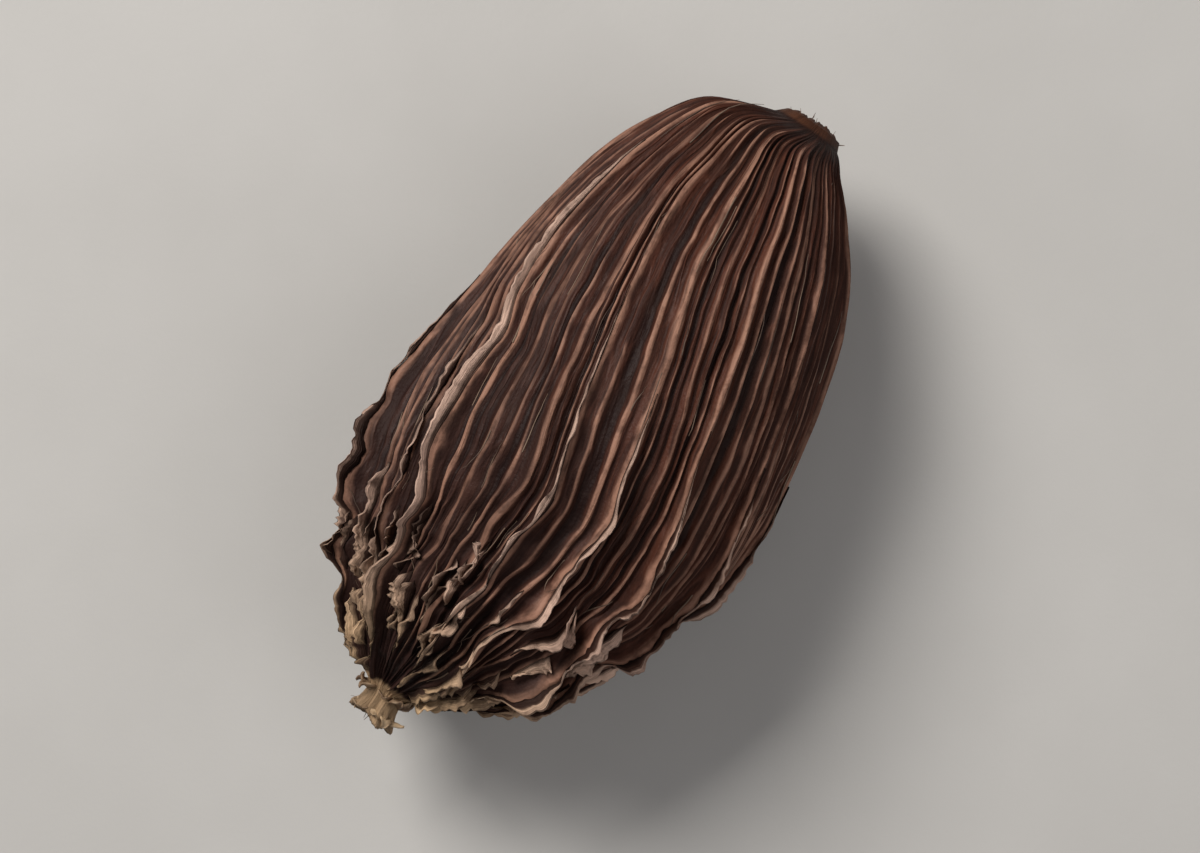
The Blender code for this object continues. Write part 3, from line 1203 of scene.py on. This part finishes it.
    def tree(self, group: Tree) -> GeometryWeb:
        """The tree that stands the strips on the relief and gives them their torn, curled edge.

        Args:
            group: The relief's node group.

        Returns:
            The tree.
        """
        web = GeometryWeb(self.piece.value, self.sizes())
        given, raised = web.given, self.relief.inside(web, group)
        life, up, side, tone = (web.read(held) for held in (Field.LIFE, Field.UP, Field.SIDE, Field.TONE))
        travelled = web.product(web.read(Field.ALONG), given["Husk Length"])
        lanes = (web.read(Field.DRIFT), web.read(Field.ACROSS))
        strand = web.joined(travelled, web.weighed(lanes, (self.lane_by_drift, self.lane_by_place)))
        reach = web.product(web.rise(life, 0.0, self.grow), web.rise(life, self.fade, 1.0, 1.0, 0.0))
        least = web.rise(tone, *self.unbroken)
        whole = web.rise(web.noise(strand, self.ruffle_length), self.whole_from, self.whole_at, least, 1.0)
        small = web.noise(strand, self.ruffle_length / self.nibbles, self.nibble_layers)
        nibbled = web.rise(small, *self.nibbled)
        tall = web.product(given["Strip Height"], whole, nibbled, reach, web.read(Field.TALL))
        waves = web.swing(web.vector_sum(strand, self.wave_room), self.ruffle_length)
        loose = web.rise(tone, *self.upright_tones, 1.0, self.upright)
        upper = web.math("ABSOLUTE", up)
        bend = web.product(waves, self.wave_reach, given["Curl"], reach, up, upper, loose)
        begin = web.rise(life, 0.0, self.thin_ends)
        ends = web.product(begin, web.rise(life, 1.0 - self.thin_ends, 1.0, 1.0, 0.0))
        thinned = web.product(web.blend(self.torn_wall, 1.0, whole), web.blend(self.end_wall, 1.0, ends))
        wall = web.product(side, given["Thickness"], thinned)
        offset = web.off_skin(web.product(tall, up), web.total(bend, wall), raised["Offset"])
        edge = web.product(web.math("MAXIMUM", up, 0.0), web.blend(self.end_crest, 1.0, ends))
        geometry = web.store(given["Geometry"], Field.CREST, edge)
        layer = web.joined(web.product(up, self.veins), web.product(side, self.vein_depth))
        geometry = web.store(geometry, Field.GRAIN, web.vector_sum(web.read(Field.GRAIN), layer))
        web.end(web.moved(geometry, offset))
        return web

    def build(self, group: Tree, material: Material) -> Thing:
        """Builds the strips on the relief of a node group, dressed in a material."""
        return self.tree(group).grown(self.piece, self.bare_mesh(), material, self.sizes())


@dataclass(frozen=True)
class LobeRing:
    """A ring of lobes: how many, their tilts, lengths and tones, and where on the stub they are rooted."""

    count: int
    tilts: Span
    lengths: Span
    tones: Span
    root: float
    share: float


@dataclass
class StubLobes:
    """The withered flower's papery lobes: a crown on the stub's rim and a collar round its foot."""

    form: PodForm
    seed: int = 5
    crown: LobeRing = LobeRing(
        8, (math.radians(14), math.radians(62)), (0.38 * MM, 0.62 * MM), (0.5, 1.0), root=0.58, share=0.98
    )
    collar: LobeRing = LobeRing(
        11, (math.radians(68), math.radians(112)), (0.45 * MM, 0.85 * MM), (0.0, 0.4), root=0.04, share=1.05
    )
    jitter: Span = (-0.3, 0.3)
    widths: Span = (0.34 * MM, 0.58 * MM)
    curls: tuple[float, ...] = (-0.5, 0.7, 1.0)
    narrowed: Ramp = (0.35, 1.05, 1.0, 0.22)
    cup: float = -0.9
    thickness: float = 0.11
    bend: float = 1.5
    ragged: float = 0.17 * MM
    ragged_size: float = 0.5 * MM
    ragged_layers: float = 2.0
    mesh_size: tuple[int, int] = (6, 9)
    weld: float = 1e-4

    def roots(self) -> Mesh:
        """Builds single points at the lobes' roots.

        Returns:
            The mesh, carrying how each lobe is turned, how large and how pale it is.
        """
        draw, form = random.Random(self.seed), self.form
        middle = Vector((form.length / 2, float(form.centre_line(End.STUB.value)), 0.0))
        places, aims, spreads, tones = [], [], [], []
        for ring in (self.crown, self.collar):
            foot = middle + Vector((ring.root * form.stub_length, 0.0, 0.0))
            for number in range(ring.count):
                turn = TURN * (number + draw.uniform(*self.jitter)) / ring.count
                away = Vector((0.0, math.cos(turn), math.sin(turn)))
                tilt = draw.uniform(*ring.tilts)
                length_way = Vector((math.cos(tilt), 0.0, 0.0)) + away * math.sin(tilt)
                curl_way = Vector((-math.sin(tilt), 0.0, 0.0)) + away * math.cos(tilt)
                turned = Matrix((length_way.cross(curl_way), length_way, curl_way)).transposed()
                places.append(tuple(foot + away * ring.share * form.stub_radius))
                aims.append(tuple(turned.to_euler()))
                length = draw.uniform(*ring.lengths)
                spreads.append((draw.uniform(*self.widths), length, length * draw.choice(self.curls)))
                tones.append(draw.uniform(*ring.tones))
        carried = {Field.AIM: aims, Field.SPREAD: spreads, Field.TONE: tones}
        return new_mesh("lobe_roots", places, [], [], carried)

    def sizes(self) -> dict[str, float]:
        """The tree's number inputs, by name."""
        return {"Thickness": self.thickness, "Bend": self.bend, "Ragged": self.ragged}

    def lobe(self, web: GeometryWeb) -> Socket:
        """One curled, cupped lobe with a wall, as long and wide as 1.

        Args:
            web: The tree being built.

        Returns:
            Its mesh.
        """
        given = web.given
        wide, long = self.mesh_size
        sheet = web.node("GeometryNodeMeshGrid", {0: 1.0, 1: 1.0, 2: wide, 3: long}).outputs[0]
        x, y, _ = web.split(web.place())
        along = web.total(y, 0.5)
        angle = web.product(along, given["Bend"])
        far = web.math("DIVIDE", web.math("SINE", angle), given["Bend"])
        curl = web.math("DIVIDE", web.less(1.0, web.math("COSINE", angle)), given["Bend"])
        cupped = web.line(web.product(x, x), self.cup, curl)
        narrow = web.product(x, web.rise(along, *self.narrowed))
        sheet = web.placed(sheet, web.joined(narrow, far, cupped))
        values = {"Mesh": sheet, "Offset Scale": given["Thickness"], "Individual": False}
        raised = web.node("GeometryNodeExtrudeMesh", values, mode="FACES").outputs[0]
        back = web.node("GeometryNodeFlipFaces", {"Mesh": sheet}).outputs[0]
        both = web.node("GeometryNodeJoinGeometry")
        for part in (raised, back):
            web.feed(both.inputs[0], part)
        values = {"Geometry": both.outputs[0], "Distance": self.weld}
        return web.node("GeometryNodeMergeByDistance", values).outputs[0]

    def tree(self) -> GeometryWeb:
        """The tree that sets a copy of one lobe on every root and makes their edges ragged.

        Returns:
            The tree.
        """
        web = GeometryWeb(Piece.LOBES.value, self.sizes())
        values = {
            "Points": web.given["Geometry"],
            "Instance": self.lobe(web),
            "Rotation": web.read(Field.AIM),
            "Scale": web.read(Field.SPREAD),
        }
        real = web.realized(web.node("GeometryNodeInstanceOnPoints", values).outputs[0])
        values = {"Vector": web.place(), "Scale": 1.0 / self.ragged_size, "Detail": self.ragged_layers}
        cloud = web.node("ShaderNodeTexNoise", values).outputs["Color"]
        centred = web.vector_sum(cloud, (-0.5, -0.5, -0.5))
        web.end(web.moved(real, web.scaled(centred, web.product(web.given["Ragged"], 2.0))))
        return web

    def build(self, material: Material) -> Thing:
        """Builds the lobes in the form's own place, dressed in a material."""
        return self.tree().grown(Piece.LOBES, self.roots(), material, self.sizes())


@dataclass
class LooseFibres:
    """Fine broken fibres: peeling along the ribs, and sticking out of the scar and the stub."""

    form: PodForm
    seed: int = 23
    on_skin: int = 170
    at_scar: int = 60
    at_stub: int = 22
    points: int = 9
    skin_rows: tuple[int, int] = (5, 15)
    start_skew: float = 0.7
    drifts: Span = (-3.0, 3.0)
    skin_lift: Span = (0.05 * MM, 0.34 * MM)
    lifted: Ramp = (0.35, 1.15)
    sunk: float = 0.2
    scar_length: Span = (0.18 * MM, 0.55 * MM)
    stub_length: Span = (0.30 * MM, 0.75 * MM)
    scar_root: float = -1.05
    stub_root: float = 0.40
    root_areas: Span = (0.05, 0.9)
    stub_room: float = 0.8
    tilts: Span = (0.1, 0.9)
    bend: float = 0.35
    radius: Span = (0.016 * MM, 0.034 * MM)
    taper: float = 0.75
    sides: int = 4

    def skin_path(self, draw: random.Random, grid: Array) -> Array:
        """A fibre that follows the skin's ribs and lifts off it at one end.

        Args:
            draw: The seeded source of chance.
            grid: The finished skin's points, rows by columns.

        Returns:
            The fibre's points.
        """
        rows, columns = grid.shape[:2]
        span, edge = draw.randint(*self.skin_rows), self.skin_rows[1]
        start = int((rows - 2 * edge) * draw.random() ** self.start_skew) + edge
        column, drift = draw.randrange(columns), draw.uniform(*self.drifts)
        way, lift = draw.choice((-1, 1)), draw.uniform(*self.skin_lift)
        share = np.linspace(0.0, 1.0, self.points)
        row = start + way * span * share
        side = column + drift * share**2
        low, left = np.floor(row).astype(int), np.floor(side).astype(int)
        up, right = (row - low)[:, None], (side - left)[:, None]

        def corner(down: int, along: int) -> Array:
            """The grid's points some steps on, either way."""
            return grid[np.clip(low + down, 0, rows - 1), (left + along) % columns]

        near = corner(0, 0) * (1 - right) + corner(0, 1) * right
        far = corner(1, 0) * (1 - right) + corner(1, 1) * right
        place = near * (1 - up) + far * up
        outward = np.cross(corner(0, 2) - corner(0, -2), corner(1, 0) - corner(-1, 0))
        outward /= np.linalg.norm(outward, axis=-1, keepdims=True)
        above = self.sunk * self.radius[0] + lift * smoothstep(*self.lifted, share)[:, None]
        return place + outward * above

    def end_path(self, draw: random.Random, end: End) -> Array:
        """A fibre that sticks out of the scar or the stub.

        Args:
            draw: The seeded source of chance.
            end: Which end.

        Returns:
            The fibre's points.
        """
        form, stub = self.form, end is End.STUB
        sign = 1.0 if stub else -1.0
        turn = draw.uniform(0.0, TURN)
        share = math.sqrt(draw.uniform(*self.root_areas)) * (self.stub_room if stub else 1.0)
        away = np.array((0.0, math.cos(turn), math.sin(turn)))
        deep = self.stub_root * form.stub_length if stub else self.scar_root * form.scar_depth
        radius = form.stub_radius if stub else form.scar_radius
        root = np.array((sign * (form.length / 2 + deep), float(form.centre_line(end.value)), 0.0))
        root = root + away * share * radius
        length = draw.uniform(*(self.stub_length if stub else self.scar_length))
        tilt = draw.uniform(*self.tilts)
        heading = np.array((sign * math.cos(tilt), 0.0, 0.0)) + away * math.sin(tilt)
        bend = np.array([draw.uniform(-1.0, 1.0) for _ in range(3)])
        step = np.linspace(0.0, 1.0, self.points)[:, None]
        return root + length * (heading * step + self.bend * bend * step**2)

    def paths_mesh(self, grid: Array) -> Mesh:
        """The fibres' centre lines as chains of edges, carrying their thickness and tone.

        Args:
            grid: The finished skin's points, rows by columns.

        Returns:
            The mesh.
        """
        draw = random.Random(self.seed)
        paths = [self.skin_path(draw, grid) for _ in range(self.on_skin)]
        for end, count in ((End.SCAR, self.at_scar), (End.STUB, self.at_stub)):
            paths += [self.end_path(draw, end) for _ in range(count)]
        taper = 1.0 - self.taper * np.linspace(0.0, 1.0, self.points) ** 2
        thick = np.concatenate([taper * draw.uniform(*self.radius) for _ in paths])
        tone = np.repeat([draw.random() for _ in paths], self.points)
        starts = np.arange(len(thick)).reshape(len(paths), self.points)[:, :-1].ravel().tolist()
        edges = [(start, start + 1) for start in starts]
        carried = {Field.THICK: thick, Field.TONE: tone}
        return new_mesh("fibre_paths", np.concatenate(paths), edges, [], carried)

    def build(self, grid: Array, material: Material) -> Thing:
        """Builds the fibres in the form's own place.

        Args:
            grid: The finished skin's points, rows by columns.
            material: Their finish.

        Returns:
            The piece.
        """
        sizes = {"Thickness": 1.0}
        web = GeometryWeb(Piece.FIBRES.value, sizes)
        curves = web.node("GeometryNodeMeshToCurve", {"Mesh": web.given["Geometry"]}).outputs[0]
        values = {"Resolution": self.sides, "Radius": 1.0}
        ring = web.node("GeometryNodeCurvePrimitiveCircle", values).outputs[0]
        scale = web.product(web.read(Field.THICK), web.given["Thickness"])
        values = {"Curve": curves, "Profile Curve": ring, "Scale": scale, "Fill Caps": True}
        web.end(web.node("GeometryNodeCurveToMesh", values).outputs[0])
        return web.grown(Piece.FIBRES, self.paths_mesh(grid), material, sizes)


class ShaderGroup(NodeGroup):
    """A shader node group that puts out numbers."""

    def __init__(self, name: str, takes: dict[str, float | Plug], *outputs: str) -> None:
        """Makes the group with a name, inputs and named outputs."""
        super().__init__(name, "ShaderNodeTree", takes, dict.fromkeys(outputs, Plug.NUMBER))


@dataclass(frozen=True)
class Effects:
    """The effects that several finishes share, each a node group built once."""

    strand: float = 0.20 * MM
    broad: Cloud = (7.0, 3.0, 0.6)
    narrow: Cloud = (1.0, 3.0, 0.65)
    fine: Cloud = (0.36, 2.0, 0.6)
    thread_width: float = 1.5
    threads: Ramp = (0.0, 0.17, 1.0, 0.0)
    streak_weights: tuple[float, ...] = (0.28, 0.32, 0.32, 0.10)
    streaks: Ramp = (0.42, 0.58)
    height_weights: tuple[float, ...] = (0.45, 0.35, 0.20)
    # Patches that break up the pale crests, which are part wear and part painted highlight
    crest_breakup: Cloud = (0.9 * MM, 4.0, 0.65)
    crest_broken_up: Ramp = (0.32, 0.56, 0.42, 1.0)
    patch: Cloud = (2.2 * MM, 5.0, 0.7)
    patched: Ramp = (0.42, 0.68)
    speck: Cloud = (0.16 * MM, 3.0, 0.7)
    specked: Ramp = (0.50, 0.72)
    dust_weights: Span = (0.65, 0.55)
    dusty_side: Ramp = (-0.2, 0.9, 0.15, 1.0)

    @cached_property
    def grain(self) -> Tree:
        """Long streaks and sharp strands that follow the fibres.

        Returns:
            The group, which gives a colour mask and a height for bump.
        """
        group = ShaderGroup("fibre_grain", {"Grain": Plug.VECTOR, "Strand": self.strand}, "Streak", "Height")
        room, strand = group.given["Grain"], group.given["Strand"]
        broad, narrow, fine = (
            group.noise(room, group.product(strand, width), detail, rough)
            for width, detail, rough in (self.broad, self.narrow, self.fine)
        )
        middle = group.math("ABSOLUTE", group.swing(room, group.product(strand, self.thread_width)))
        thread = group.rise(middle, *self.threads)
        streak = group.weighed((broad, narrow, fine, thread), self.streak_weights)
        group.feed(group.result["Streak"], group.rise(streak, *self.streaks))
        group.feed(group.result["Height"], group.weighed((narrow, fine, thread), self.height_weights))
        return group.tree

    @cached_property
    def wear(self) -> Tree:
        """Paler crests, partly rubbed wear and partly a painted highlight, that break up along their length.

        Returns:
            The group, which gives a mask.
        """
        takes = {"Crest": 0.0, "Place": Plug.VECTOR, "Amount": 1.0, "Start": 0.3, "Full": 0.8}
        group = ShaderGroup("edge_wear", takes, "Wear")
        given = group.given
        broken = group.rise(group.noise(given["Place"], *self.crest_breakup), *self.crest_broken_up)
        edge = group.rise(given["Crest"], given["Start"], given["Full"])
        group.feed(group.result["Wear"], group.product(edge, broken, given["Amount"]))
        return group.tree

    @cached_property
    def dust(self) -> Tree:
        """Pale dust that lies in patches, thicker where the skin faces up.

        Returns:
            The group, which gives a mask.
        """
        group = ShaderGroup("dust_film", {"Place": Plug.VECTOR, "Facing": 1.0, "Amount": 0.3}, "Dust")
        given = group.given
        patch = group.rise(group.noise(given["Place"], *self.patch), *self.patched)
        speck = group.rise(group.noise(given["Place"], *self.speck), *self.specked)
        cover = group.weighed((patch, speck), self.dust_weights)
        lying = group.rise(given["Facing"], *self.dusty_side)
        group.feed(group.result["Dust"], group.product(cover, lying, given["Amount"]))
        return group.tree


class Finish(Web):
    """A new material with its Principled shader, ready for nodes."""

    def __init__(self, name: str) -> None:
        """Makes the material.

        Args:
            name: Its name.
        """
        self.material = bpy.data.materials.new(name)
        self.material.use_nodes = True
        super().__init__(self.material.node_tree)
        self.shader = self.tree.nodes["Principled BSDF"].inputs
        self.place = self.node("ShaderNodeTexCoord").outputs["Object"]

    def held(self, held: Field) -> Socket:
        """What the surface carries under a field's name."""
        output = "Vector" if "VECTOR" in held.value[1] else "Fac"
        return self.node("ShaderNodeAttribute", attribute_name=held.value[0]).outputs[output]

    def mixed(self, first: Value, second: Value, share: Value) -> Socket:
        """Two colours mixed at a share."""
        return self.node("ShaderNodeMix", {0: share, 6: first, 7: second}, data_type="RGBA").outputs[2]

    def effect(self, group: Tree, values: dict[str, Value]) -> Sockets:
        """The outputs of a shared effect with its inputs fed by name."""
        return self.node("ShaderNodeGroup", values, node_tree=group).outputs

    def dusted(self, effects: Effects, facing: Value, amount: float) -> Socket:
        """How much dust lies on the surface, by how far it faces up and the amount of dust."""
        values = {"Place": self.place, "Facing": facing, "Amount": amount}
        return self.effect(effects.dust, values)["Dust"]

    def bumped(self, height: Value, strength: float, distance: float) -> None:
        """Gives the shader a bump from a height."""
        values = {"Strength": strength, "Distance": distance, "Height": height}
        self.feed(self.shader["Normal"], self.node("ShaderNodeBump", values).outputs[0])


@dataclass(frozen=True)
class DriedSkin:
    """The finish of the dried, fibrous skin, for the husk and for what stands on it."""

    name: str
    red_brown: Colour
    umber: Colour
    # Dark maroon: darker fibre streaks, and painted shade in the furrows between crests
    furrow: Colour
    # Pale crest colour: partly rubbed wear, partly a painted highlight on the crests
    crest: Colour
    tip: Colour
    dust: Colour
    wear: Span
    pale_crest_starts: Span
    pale_crest_width: float
    tip_from: float
    dustiness: float
    roughness: float
    bump: float
    scar: Colour = (0.120, 0.042, 0.018, 1.0)
    stub: Colour = (0.540, 0.365, 0.215, 1.0)
    fray: float = 0.35
    mean_height: float = 0.43
    least_pale_crest: float = 0.58
    blotch: Cloud = (3.4 * MM, 3.0, 0.6)
    blotch_aging: float = 0.5
    # More umber on the flank that faces -Y, by which way the skin faces
    side_umber: float = -0.28
    umber_ramp: Ramp = (0.50, 1.15)
    dark_streaks: float = 0.60
    # Painted shade: how far the furrow colour darkens the skin away from the crests
    painted_furrow_shade: Ramp = (0.0, 0.34, 0.88, 0.0)
    patched: Ramp = (0.30, 0.60, 0.35, 0.95)
    at_stub: Ramp = (0.975, 1.06)
    at_scar: Ramp = (-0.05, 0.020, 1.0, 0.0)
    gloss: float = 0.15
    dust_roughness: float = 0.22
    streak_roughness: float = -0.12
    pores: Cloud = (0.10 * MM, 3.0, 0.6)
    pore_depth: float = 0.30
    bump_depth: float = 0.09 * MM

    def make(self, effects: Effects) -> Material:
        """Builds the material.

        Args:
            effects: The shared node groups.

        Returns:
            The material.
        """
        web = Finish(self.name)
        place = web.place
        along, crest, tone = (web.held(held) for held in (Field.ALONG, Field.CREST, Field.TONE))
        _, side, facing = web.split(web.held(Field.OUTWARD))
        grain = web.effect(effects.grain, {"Grain": web.held(Field.GRAIN)})
        streak, height = grain["Streak"], grain["Height"]
        frayed = web.product(web.less(height, self.mean_height), self.fray)
        start, fibrous = web.blend(*self.pale_crest_starts, tone), web.blend(self.least_pale_crest, 1.0, streak)
        # Paler crests: partly rubbed wear and partly a painted highlight along the crests
        pale_crest_inputs = {
            "Crest": web.total(crest, frayed),
            "Place": place,
            "Amount": web.product(web.blend(*self.wear, tone), fibrous),
            "Start": start,
            "Full": web.total(start, self.pale_crest_width),
        }
        wear = web.effect(effects.wear, pale_crest_inputs)["Wear"]
        dust = web.dusted(effects, facing, self.dustiness)
        blotch = web.noise(place, *self.blotch)
        # Umber grows towards the stub, in random blotches, and by which way the skin faces
        umber_share = web.total(along, web.product(blotch, self.blotch_aging), web.product(side, self.side_umber))
        pale = web.mixed(self.crest, self.tip, web.rise(along, self.tip_from, 1.0))
        patchy = web.rise(blotch, *self.patched)
        colour = self.red_brown
        for layer, share in (
            (self.umber, web.rise(umber_share, *self.umber_ramp)),
            (self.furrow, web.product(web.less(1.0, streak), self.dark_streaks)),
            # Painted shade: the furrow colour darkens the low ground between crests, where shade falls
            (self.furrow, web.rise(crest, *self.painted_furrow_shade)),
            # Painted highlight and real wear: the pale crest colour laid along the crests
            (pale, wear),
            (self.stub, web.product(web.rise(along, *self.at_stub), patchy)),
            (self.scar, web.product(web.rise(along, *self.at_scar), patchy)),
            (self.dust, dust),
        ):
            colour = web.mixed(colour, layer, share)
        web.feed(web.shader["Base Color"], colour)
        dusty, streaky = web.product(dust, self.dust_roughness), web.product(streak, self.streak_roughness)
        web.feed(web.shader["Roughness"], web.total(self.roughness, dusty, streaky))
        web.shader["Specular IOR Level"].default_value = self.gloss
        pores = web.product(web.noise(place, *self.pores), self.pore_depth)
        web.bumped(web.total(height, pores), self.bump, self.bump_depth)
        return web.material


@dataclass(frozen=True)
class DryThread:
    """The finish of the loose fibres and of the stub's papery lobes."""

    name: str
    dark: Colour
    pale: Colour
    dust: Colour
    roughness: float
    patch: float
    patch_layers: Span = (4.0, 0.65)
    weights: Span = (0.40, 0.9)
    paled: Ramp = (0.42, 0.92)
    dustiness: float = 0.3
    dust_roughness: float = 0.2
    bump: float = 0.5
    bump_depth: float = 0.03 * MM
    bump_share: float = 0.25
    bump_layers: Span = (4.0, 0.7)

    def make(self, effects: Effects) -> Material:
        """Builds the material.

        Args:
            effects: The shared node groups.

        Returns:
            The material.
        """
        web = Finish(self.name)
        mottle = web.noise(web.place, self.patch, *self.patch_layers)
        share = web.rise(web.weighed((web.held(Field.TONE), mottle), self.weights), *self.paled)
        dust = web.dusted(effects, 1.0, self.dustiness)
        web.feed(web.shader["Base Color"], web.mixed(web.mixed(self.dark, self.pale, share), self.dust, dust))
        web.feed(web.shader["Roughness"], web.total(self.roughness, web.product(dust, self.dust_roughness)))
        fine = web.noise(web.place, self.patch * self.bump_share, *self.bump_layers)
        web.bumped(fine, self.bump, self.bump_depth)
        return web.material


@dataclass(frozen=True)
class PaleFloor:
    """The finish of the plain pale floor."""

    base: Colour = (0.62, 0.61, 0.59, 1.0)
    shade: Colour = (0.58, 0.57, 0.55, 1.0)
    cloud: Cloud = (17.0 * MM, 4.0, 0.6)
    shaded: Ramp = (0.3, 0.7)
    roughness: float = 0.75
    grit: Cloud = (0.25 * MM, 3.0, 0.6)
    bump: float = 0.12
    bump_depth: float = 0.05 * MM

    def make(self) -> Material:
        """Builds the material.

        Returns:
            The material.
        """
        web = Finish("pale_floor")
        cloudy = web.rise(web.noise(web.place, *self.cloud), *self.shaded)
        web.feed(web.shader["Base Color"], web.mixed(self.base, self.shade, cloudy))
        web.shader["Roughness"].default_value = self.roughness
        web.bumped(web.noise(web.place, *self.grit), self.bump, self.bump_depth)
        return web.material


HUSK_FINISH = DriedSkin(
    name="dried_husk",
    red_brown=(0.095, 0.031, 0.018, 1.0),
    umber=(0.055, 0.0245, 0.019, 1.0),
    # Dark maroon for fibre streaks and for painted shade in the furrows
    furrow=(0.011, 0.0036, 0.0030, 1.0),
    # Pale crests: part rubbed wear, part painted highlight
    crest=(0.390, 0.206, 0.142, 1.0),
    tip=(0.340, 0.196, 0.122, 1.0),
    dust=(0.126, 0.078, 0.057, 1.0),
    wear=(0.50, 1.5),
    pale_crest_starts=(0.58, 0.44),
    pale_crest_width=0.30,
    tip_from=0.78,
    dustiness=0.12,
    roughness=0.58,
    bump=1.0,
)
MARGIN_FINISH = DriedSkin(
    name="papery_margin",
    red_brown=(0.102, 0.041, 0.025, 1.0),
    umber=(0.067, 0.034, 0.024, 1.0),
    # Dark maroon for fibre streaks and for painted shade at the strips' feet
    furrow=(0.020, 0.0075, 0.0055, 1.0),
    # Pale top edges: part rubbed wear, part painted highlight
    crest=(0.790, 0.535, 0.420, 1.0),
    tip=(0.700, 0.475, 0.270, 1.0),
    dust=(0.166, 0.114, 0.086, 1.0),
    wear=(0.60, 1.4),
    pale_crest_starts=(0.60, -0.08),
    pale_crest_width=0.42,
    tip_from=0.74,
    dustiness=0.14,
    roughness=0.60,
    bump=0.85,
)
LOBE_FINISH = DryThread(
    name="withered_lobe",
    dark=(0.150, 0.082, 0.044, 1.0),
    pale=(0.640, 0.460, 0.280, 1.0),
    dust=(0.300, 0.225, 0.155, 1.0),
    roughness=0.60,
    patch=0.45 * MM,
)
FIBRE_FINISH = DryThread(
    name="loose_fibre",
    dark=(0.060, 0.030, 0.020, 1.0),
    pale=(0.260, 0.175, 0.120, 1.0),
    dust=(0.160, 0.125, 0.100, 1.0),
    roughness=0.55,
    patch=0.80 * MM,
)


@dataclass(frozen=True)
class Lamp:
    """A soft square light: its way from the pod, in the picture and upwards, and its power, side and tint."""

    name: str
    picture_way: Span
    level: float
    above: float
    power: float
    size: float
    tint: tuple[float, float, float]


@dataclass
class Studio:
    """The floor, the lights and the camera that looks straight down, turned as the photograph's is."""

    image: tuple[int, int] = (1200, 853)
    pod_axis: Span = (-0.568, -0.823)
    lens: float = 120.0
    frame_height: float = 28.5 * MM
    nearest: float = 0.01
    floor_size: float = 0.6
    distance: float = 0.30
    key: Lamp = Lamp(
        "key",
        (-0.60, 0.80),
        math.cos(math.radians(46)),
        math.sin(math.radians(46)),
        power=0.82,
        size=0.13,
        tint=(1.0, 0.965, 0.92),
    )
    fill: Lamp = Lamp("fill", (0.85, -0.30), 0.7, 0.8, power=0.15, size=0.26, tint=(1.0, 0.97, 0.95))
    sky: float = 0.16
    sky_tint: Colour = (0.98, 0.97, 1.0, 1.0)

    def build(self) -> None:
        """Adds the floor, lights, camera and world."""
        across, down = self.pod_axis
        right, up = Vector((across, -down, 0.0)), Vector((down, across, 0.0))
        half = self.floor_size / 2
        corners = [(-half, -half, 0), (half, -half, 0), (half, half, 0), (-half, half, 0)]
        mesh = new_mesh("floor", corners, [], [(0, 1, 2, 3)], {})
        mesh.materials.append(PaleFloor().make())
        new_thing("floor", mesh)
        low, high = CAD_BOX
        middle = (low + high) / 2
        for lamp in (self.key, self.fill):
            flat = lamp.picture_way[0] * right + lamp.picture_way[1] * up
            self.light(lamp, middle, flat * lamp.level + Vector((0, 0, lamp.above)))
        self.camera(middle, right, up)
        world = bpy.data.worlds.new("studio")
        world.use_nodes = True
        sky = world.node_tree.nodes["Background"].inputs
        sky["Color"].default_value = self.sky_tint
        sky["Strength"].default_value = self.sky
        bpy.context.scene.world = world
        bpy.context.scene.view_settings.view_transform = "Standard"

    def light(self, lamp: Lamp, target: Vector, towards: Vector) -> None:
        """Adds a light that faces the pod.

        Args:
            lamp: Which one.
            target: What it faces.
            towards: Direction from there to the light.
        """
        data = bpy.data.lights.new(lamp.name, "AREA")
        data.size, data.energy, data.color = lamp.size, lamp.power, lamp.tint
        light = new_thing(lamp.name, data)
        light.location = target + towards.normalized() * self.distance
        light.rotation_euler = (target - light.location).to_track_quat("-Z", "Y").to_euler()

    def camera(self, middle: Vector, right: Vector, up: Vector) -> None:
        """Adds the camera over the pod.

        Args:
            middle: The pod's middle.
            right: The picture's right, in the world.
            up: The picture's up.
        """
        data = bpy.data.cameras.new("camera")
        data.lens = self.lens
        frame_width = self.frame_height * self.image[0] / self.image[1]
        away = frame_width * data.lens / data.sensor_width
        data.clip_start = away * self.nearest
        camera = new_thing("camera", data)
        turned = Matrix((right, up, Vector((0, 0, 1)))).transposed().to_4x4()
        camera.matrix_world = Matrix.Translation(middle + Vector((0, 0, away))) @ turned
        bpy.context.scene.camera = camera


def frame_shift(husk: Thing, form: PodForm) -> Vector:
    """How far the form's own place is from the frame's: level with the pressed underside, and centred.

    Args:
        husk: The husk in the form's own place.
        form: The pod's form.

    Returns:
        The shift.
    """
    low, high = (np.array(corner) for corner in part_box("pod"))
    places = places_of(husk.data)
    shift = (low + high) / 2 - (places.min(axis=0) + places.max(axis=0)) / 2
    return Vector((float(shift[0]), float(shift[1]), -form.floor()))


def report(piece: Thing) -> None:
    """Logs a piece's name and its number of triangles."""
    piece.data.calc_loop_triangles()
    LOG.info("%s: %d triangles", piece.name, len(piece.data.loop_triangles))


def write_sizes() -> None:
    """Updates the view layer."""
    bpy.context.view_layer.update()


def main() -> None:
    """Builds the pod's pieces and the studio, and updates the view layer."""
    logging.basicConfig(level=logging.INFO, format="%(message)s")
    form, effects = PodForm(), Effects()
    relief = RibRelief(form)
    group = relief.tree()
    margin_skin = MARGIN_FINISH.make(effects)
    skin = RibbedHusk(form, relief)
    husk = skin.build(group, HUSK_FINISH.make(effects))
    pieces = [
        husk,
        PaperStrips.margins(relief).build(group, margin_skin),
        PaperStrips.frills(relief).build(group, margin_skin),
        StubLobes(form).build(LOBE_FINISH.make(effects)),
        LooseFibres(form).build(skin.skin_grid(husk), FIBRE_FINISH.make(effects)),
    ]
    shift = frame_shift(husk, form)
    for piece in pieces:
        set_down(piece, shift)
        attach(piece, "root")
        report(piece)
    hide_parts("pod")
    Studio().build()
    write_sizes()


if __name__ == "__main__":
    main()
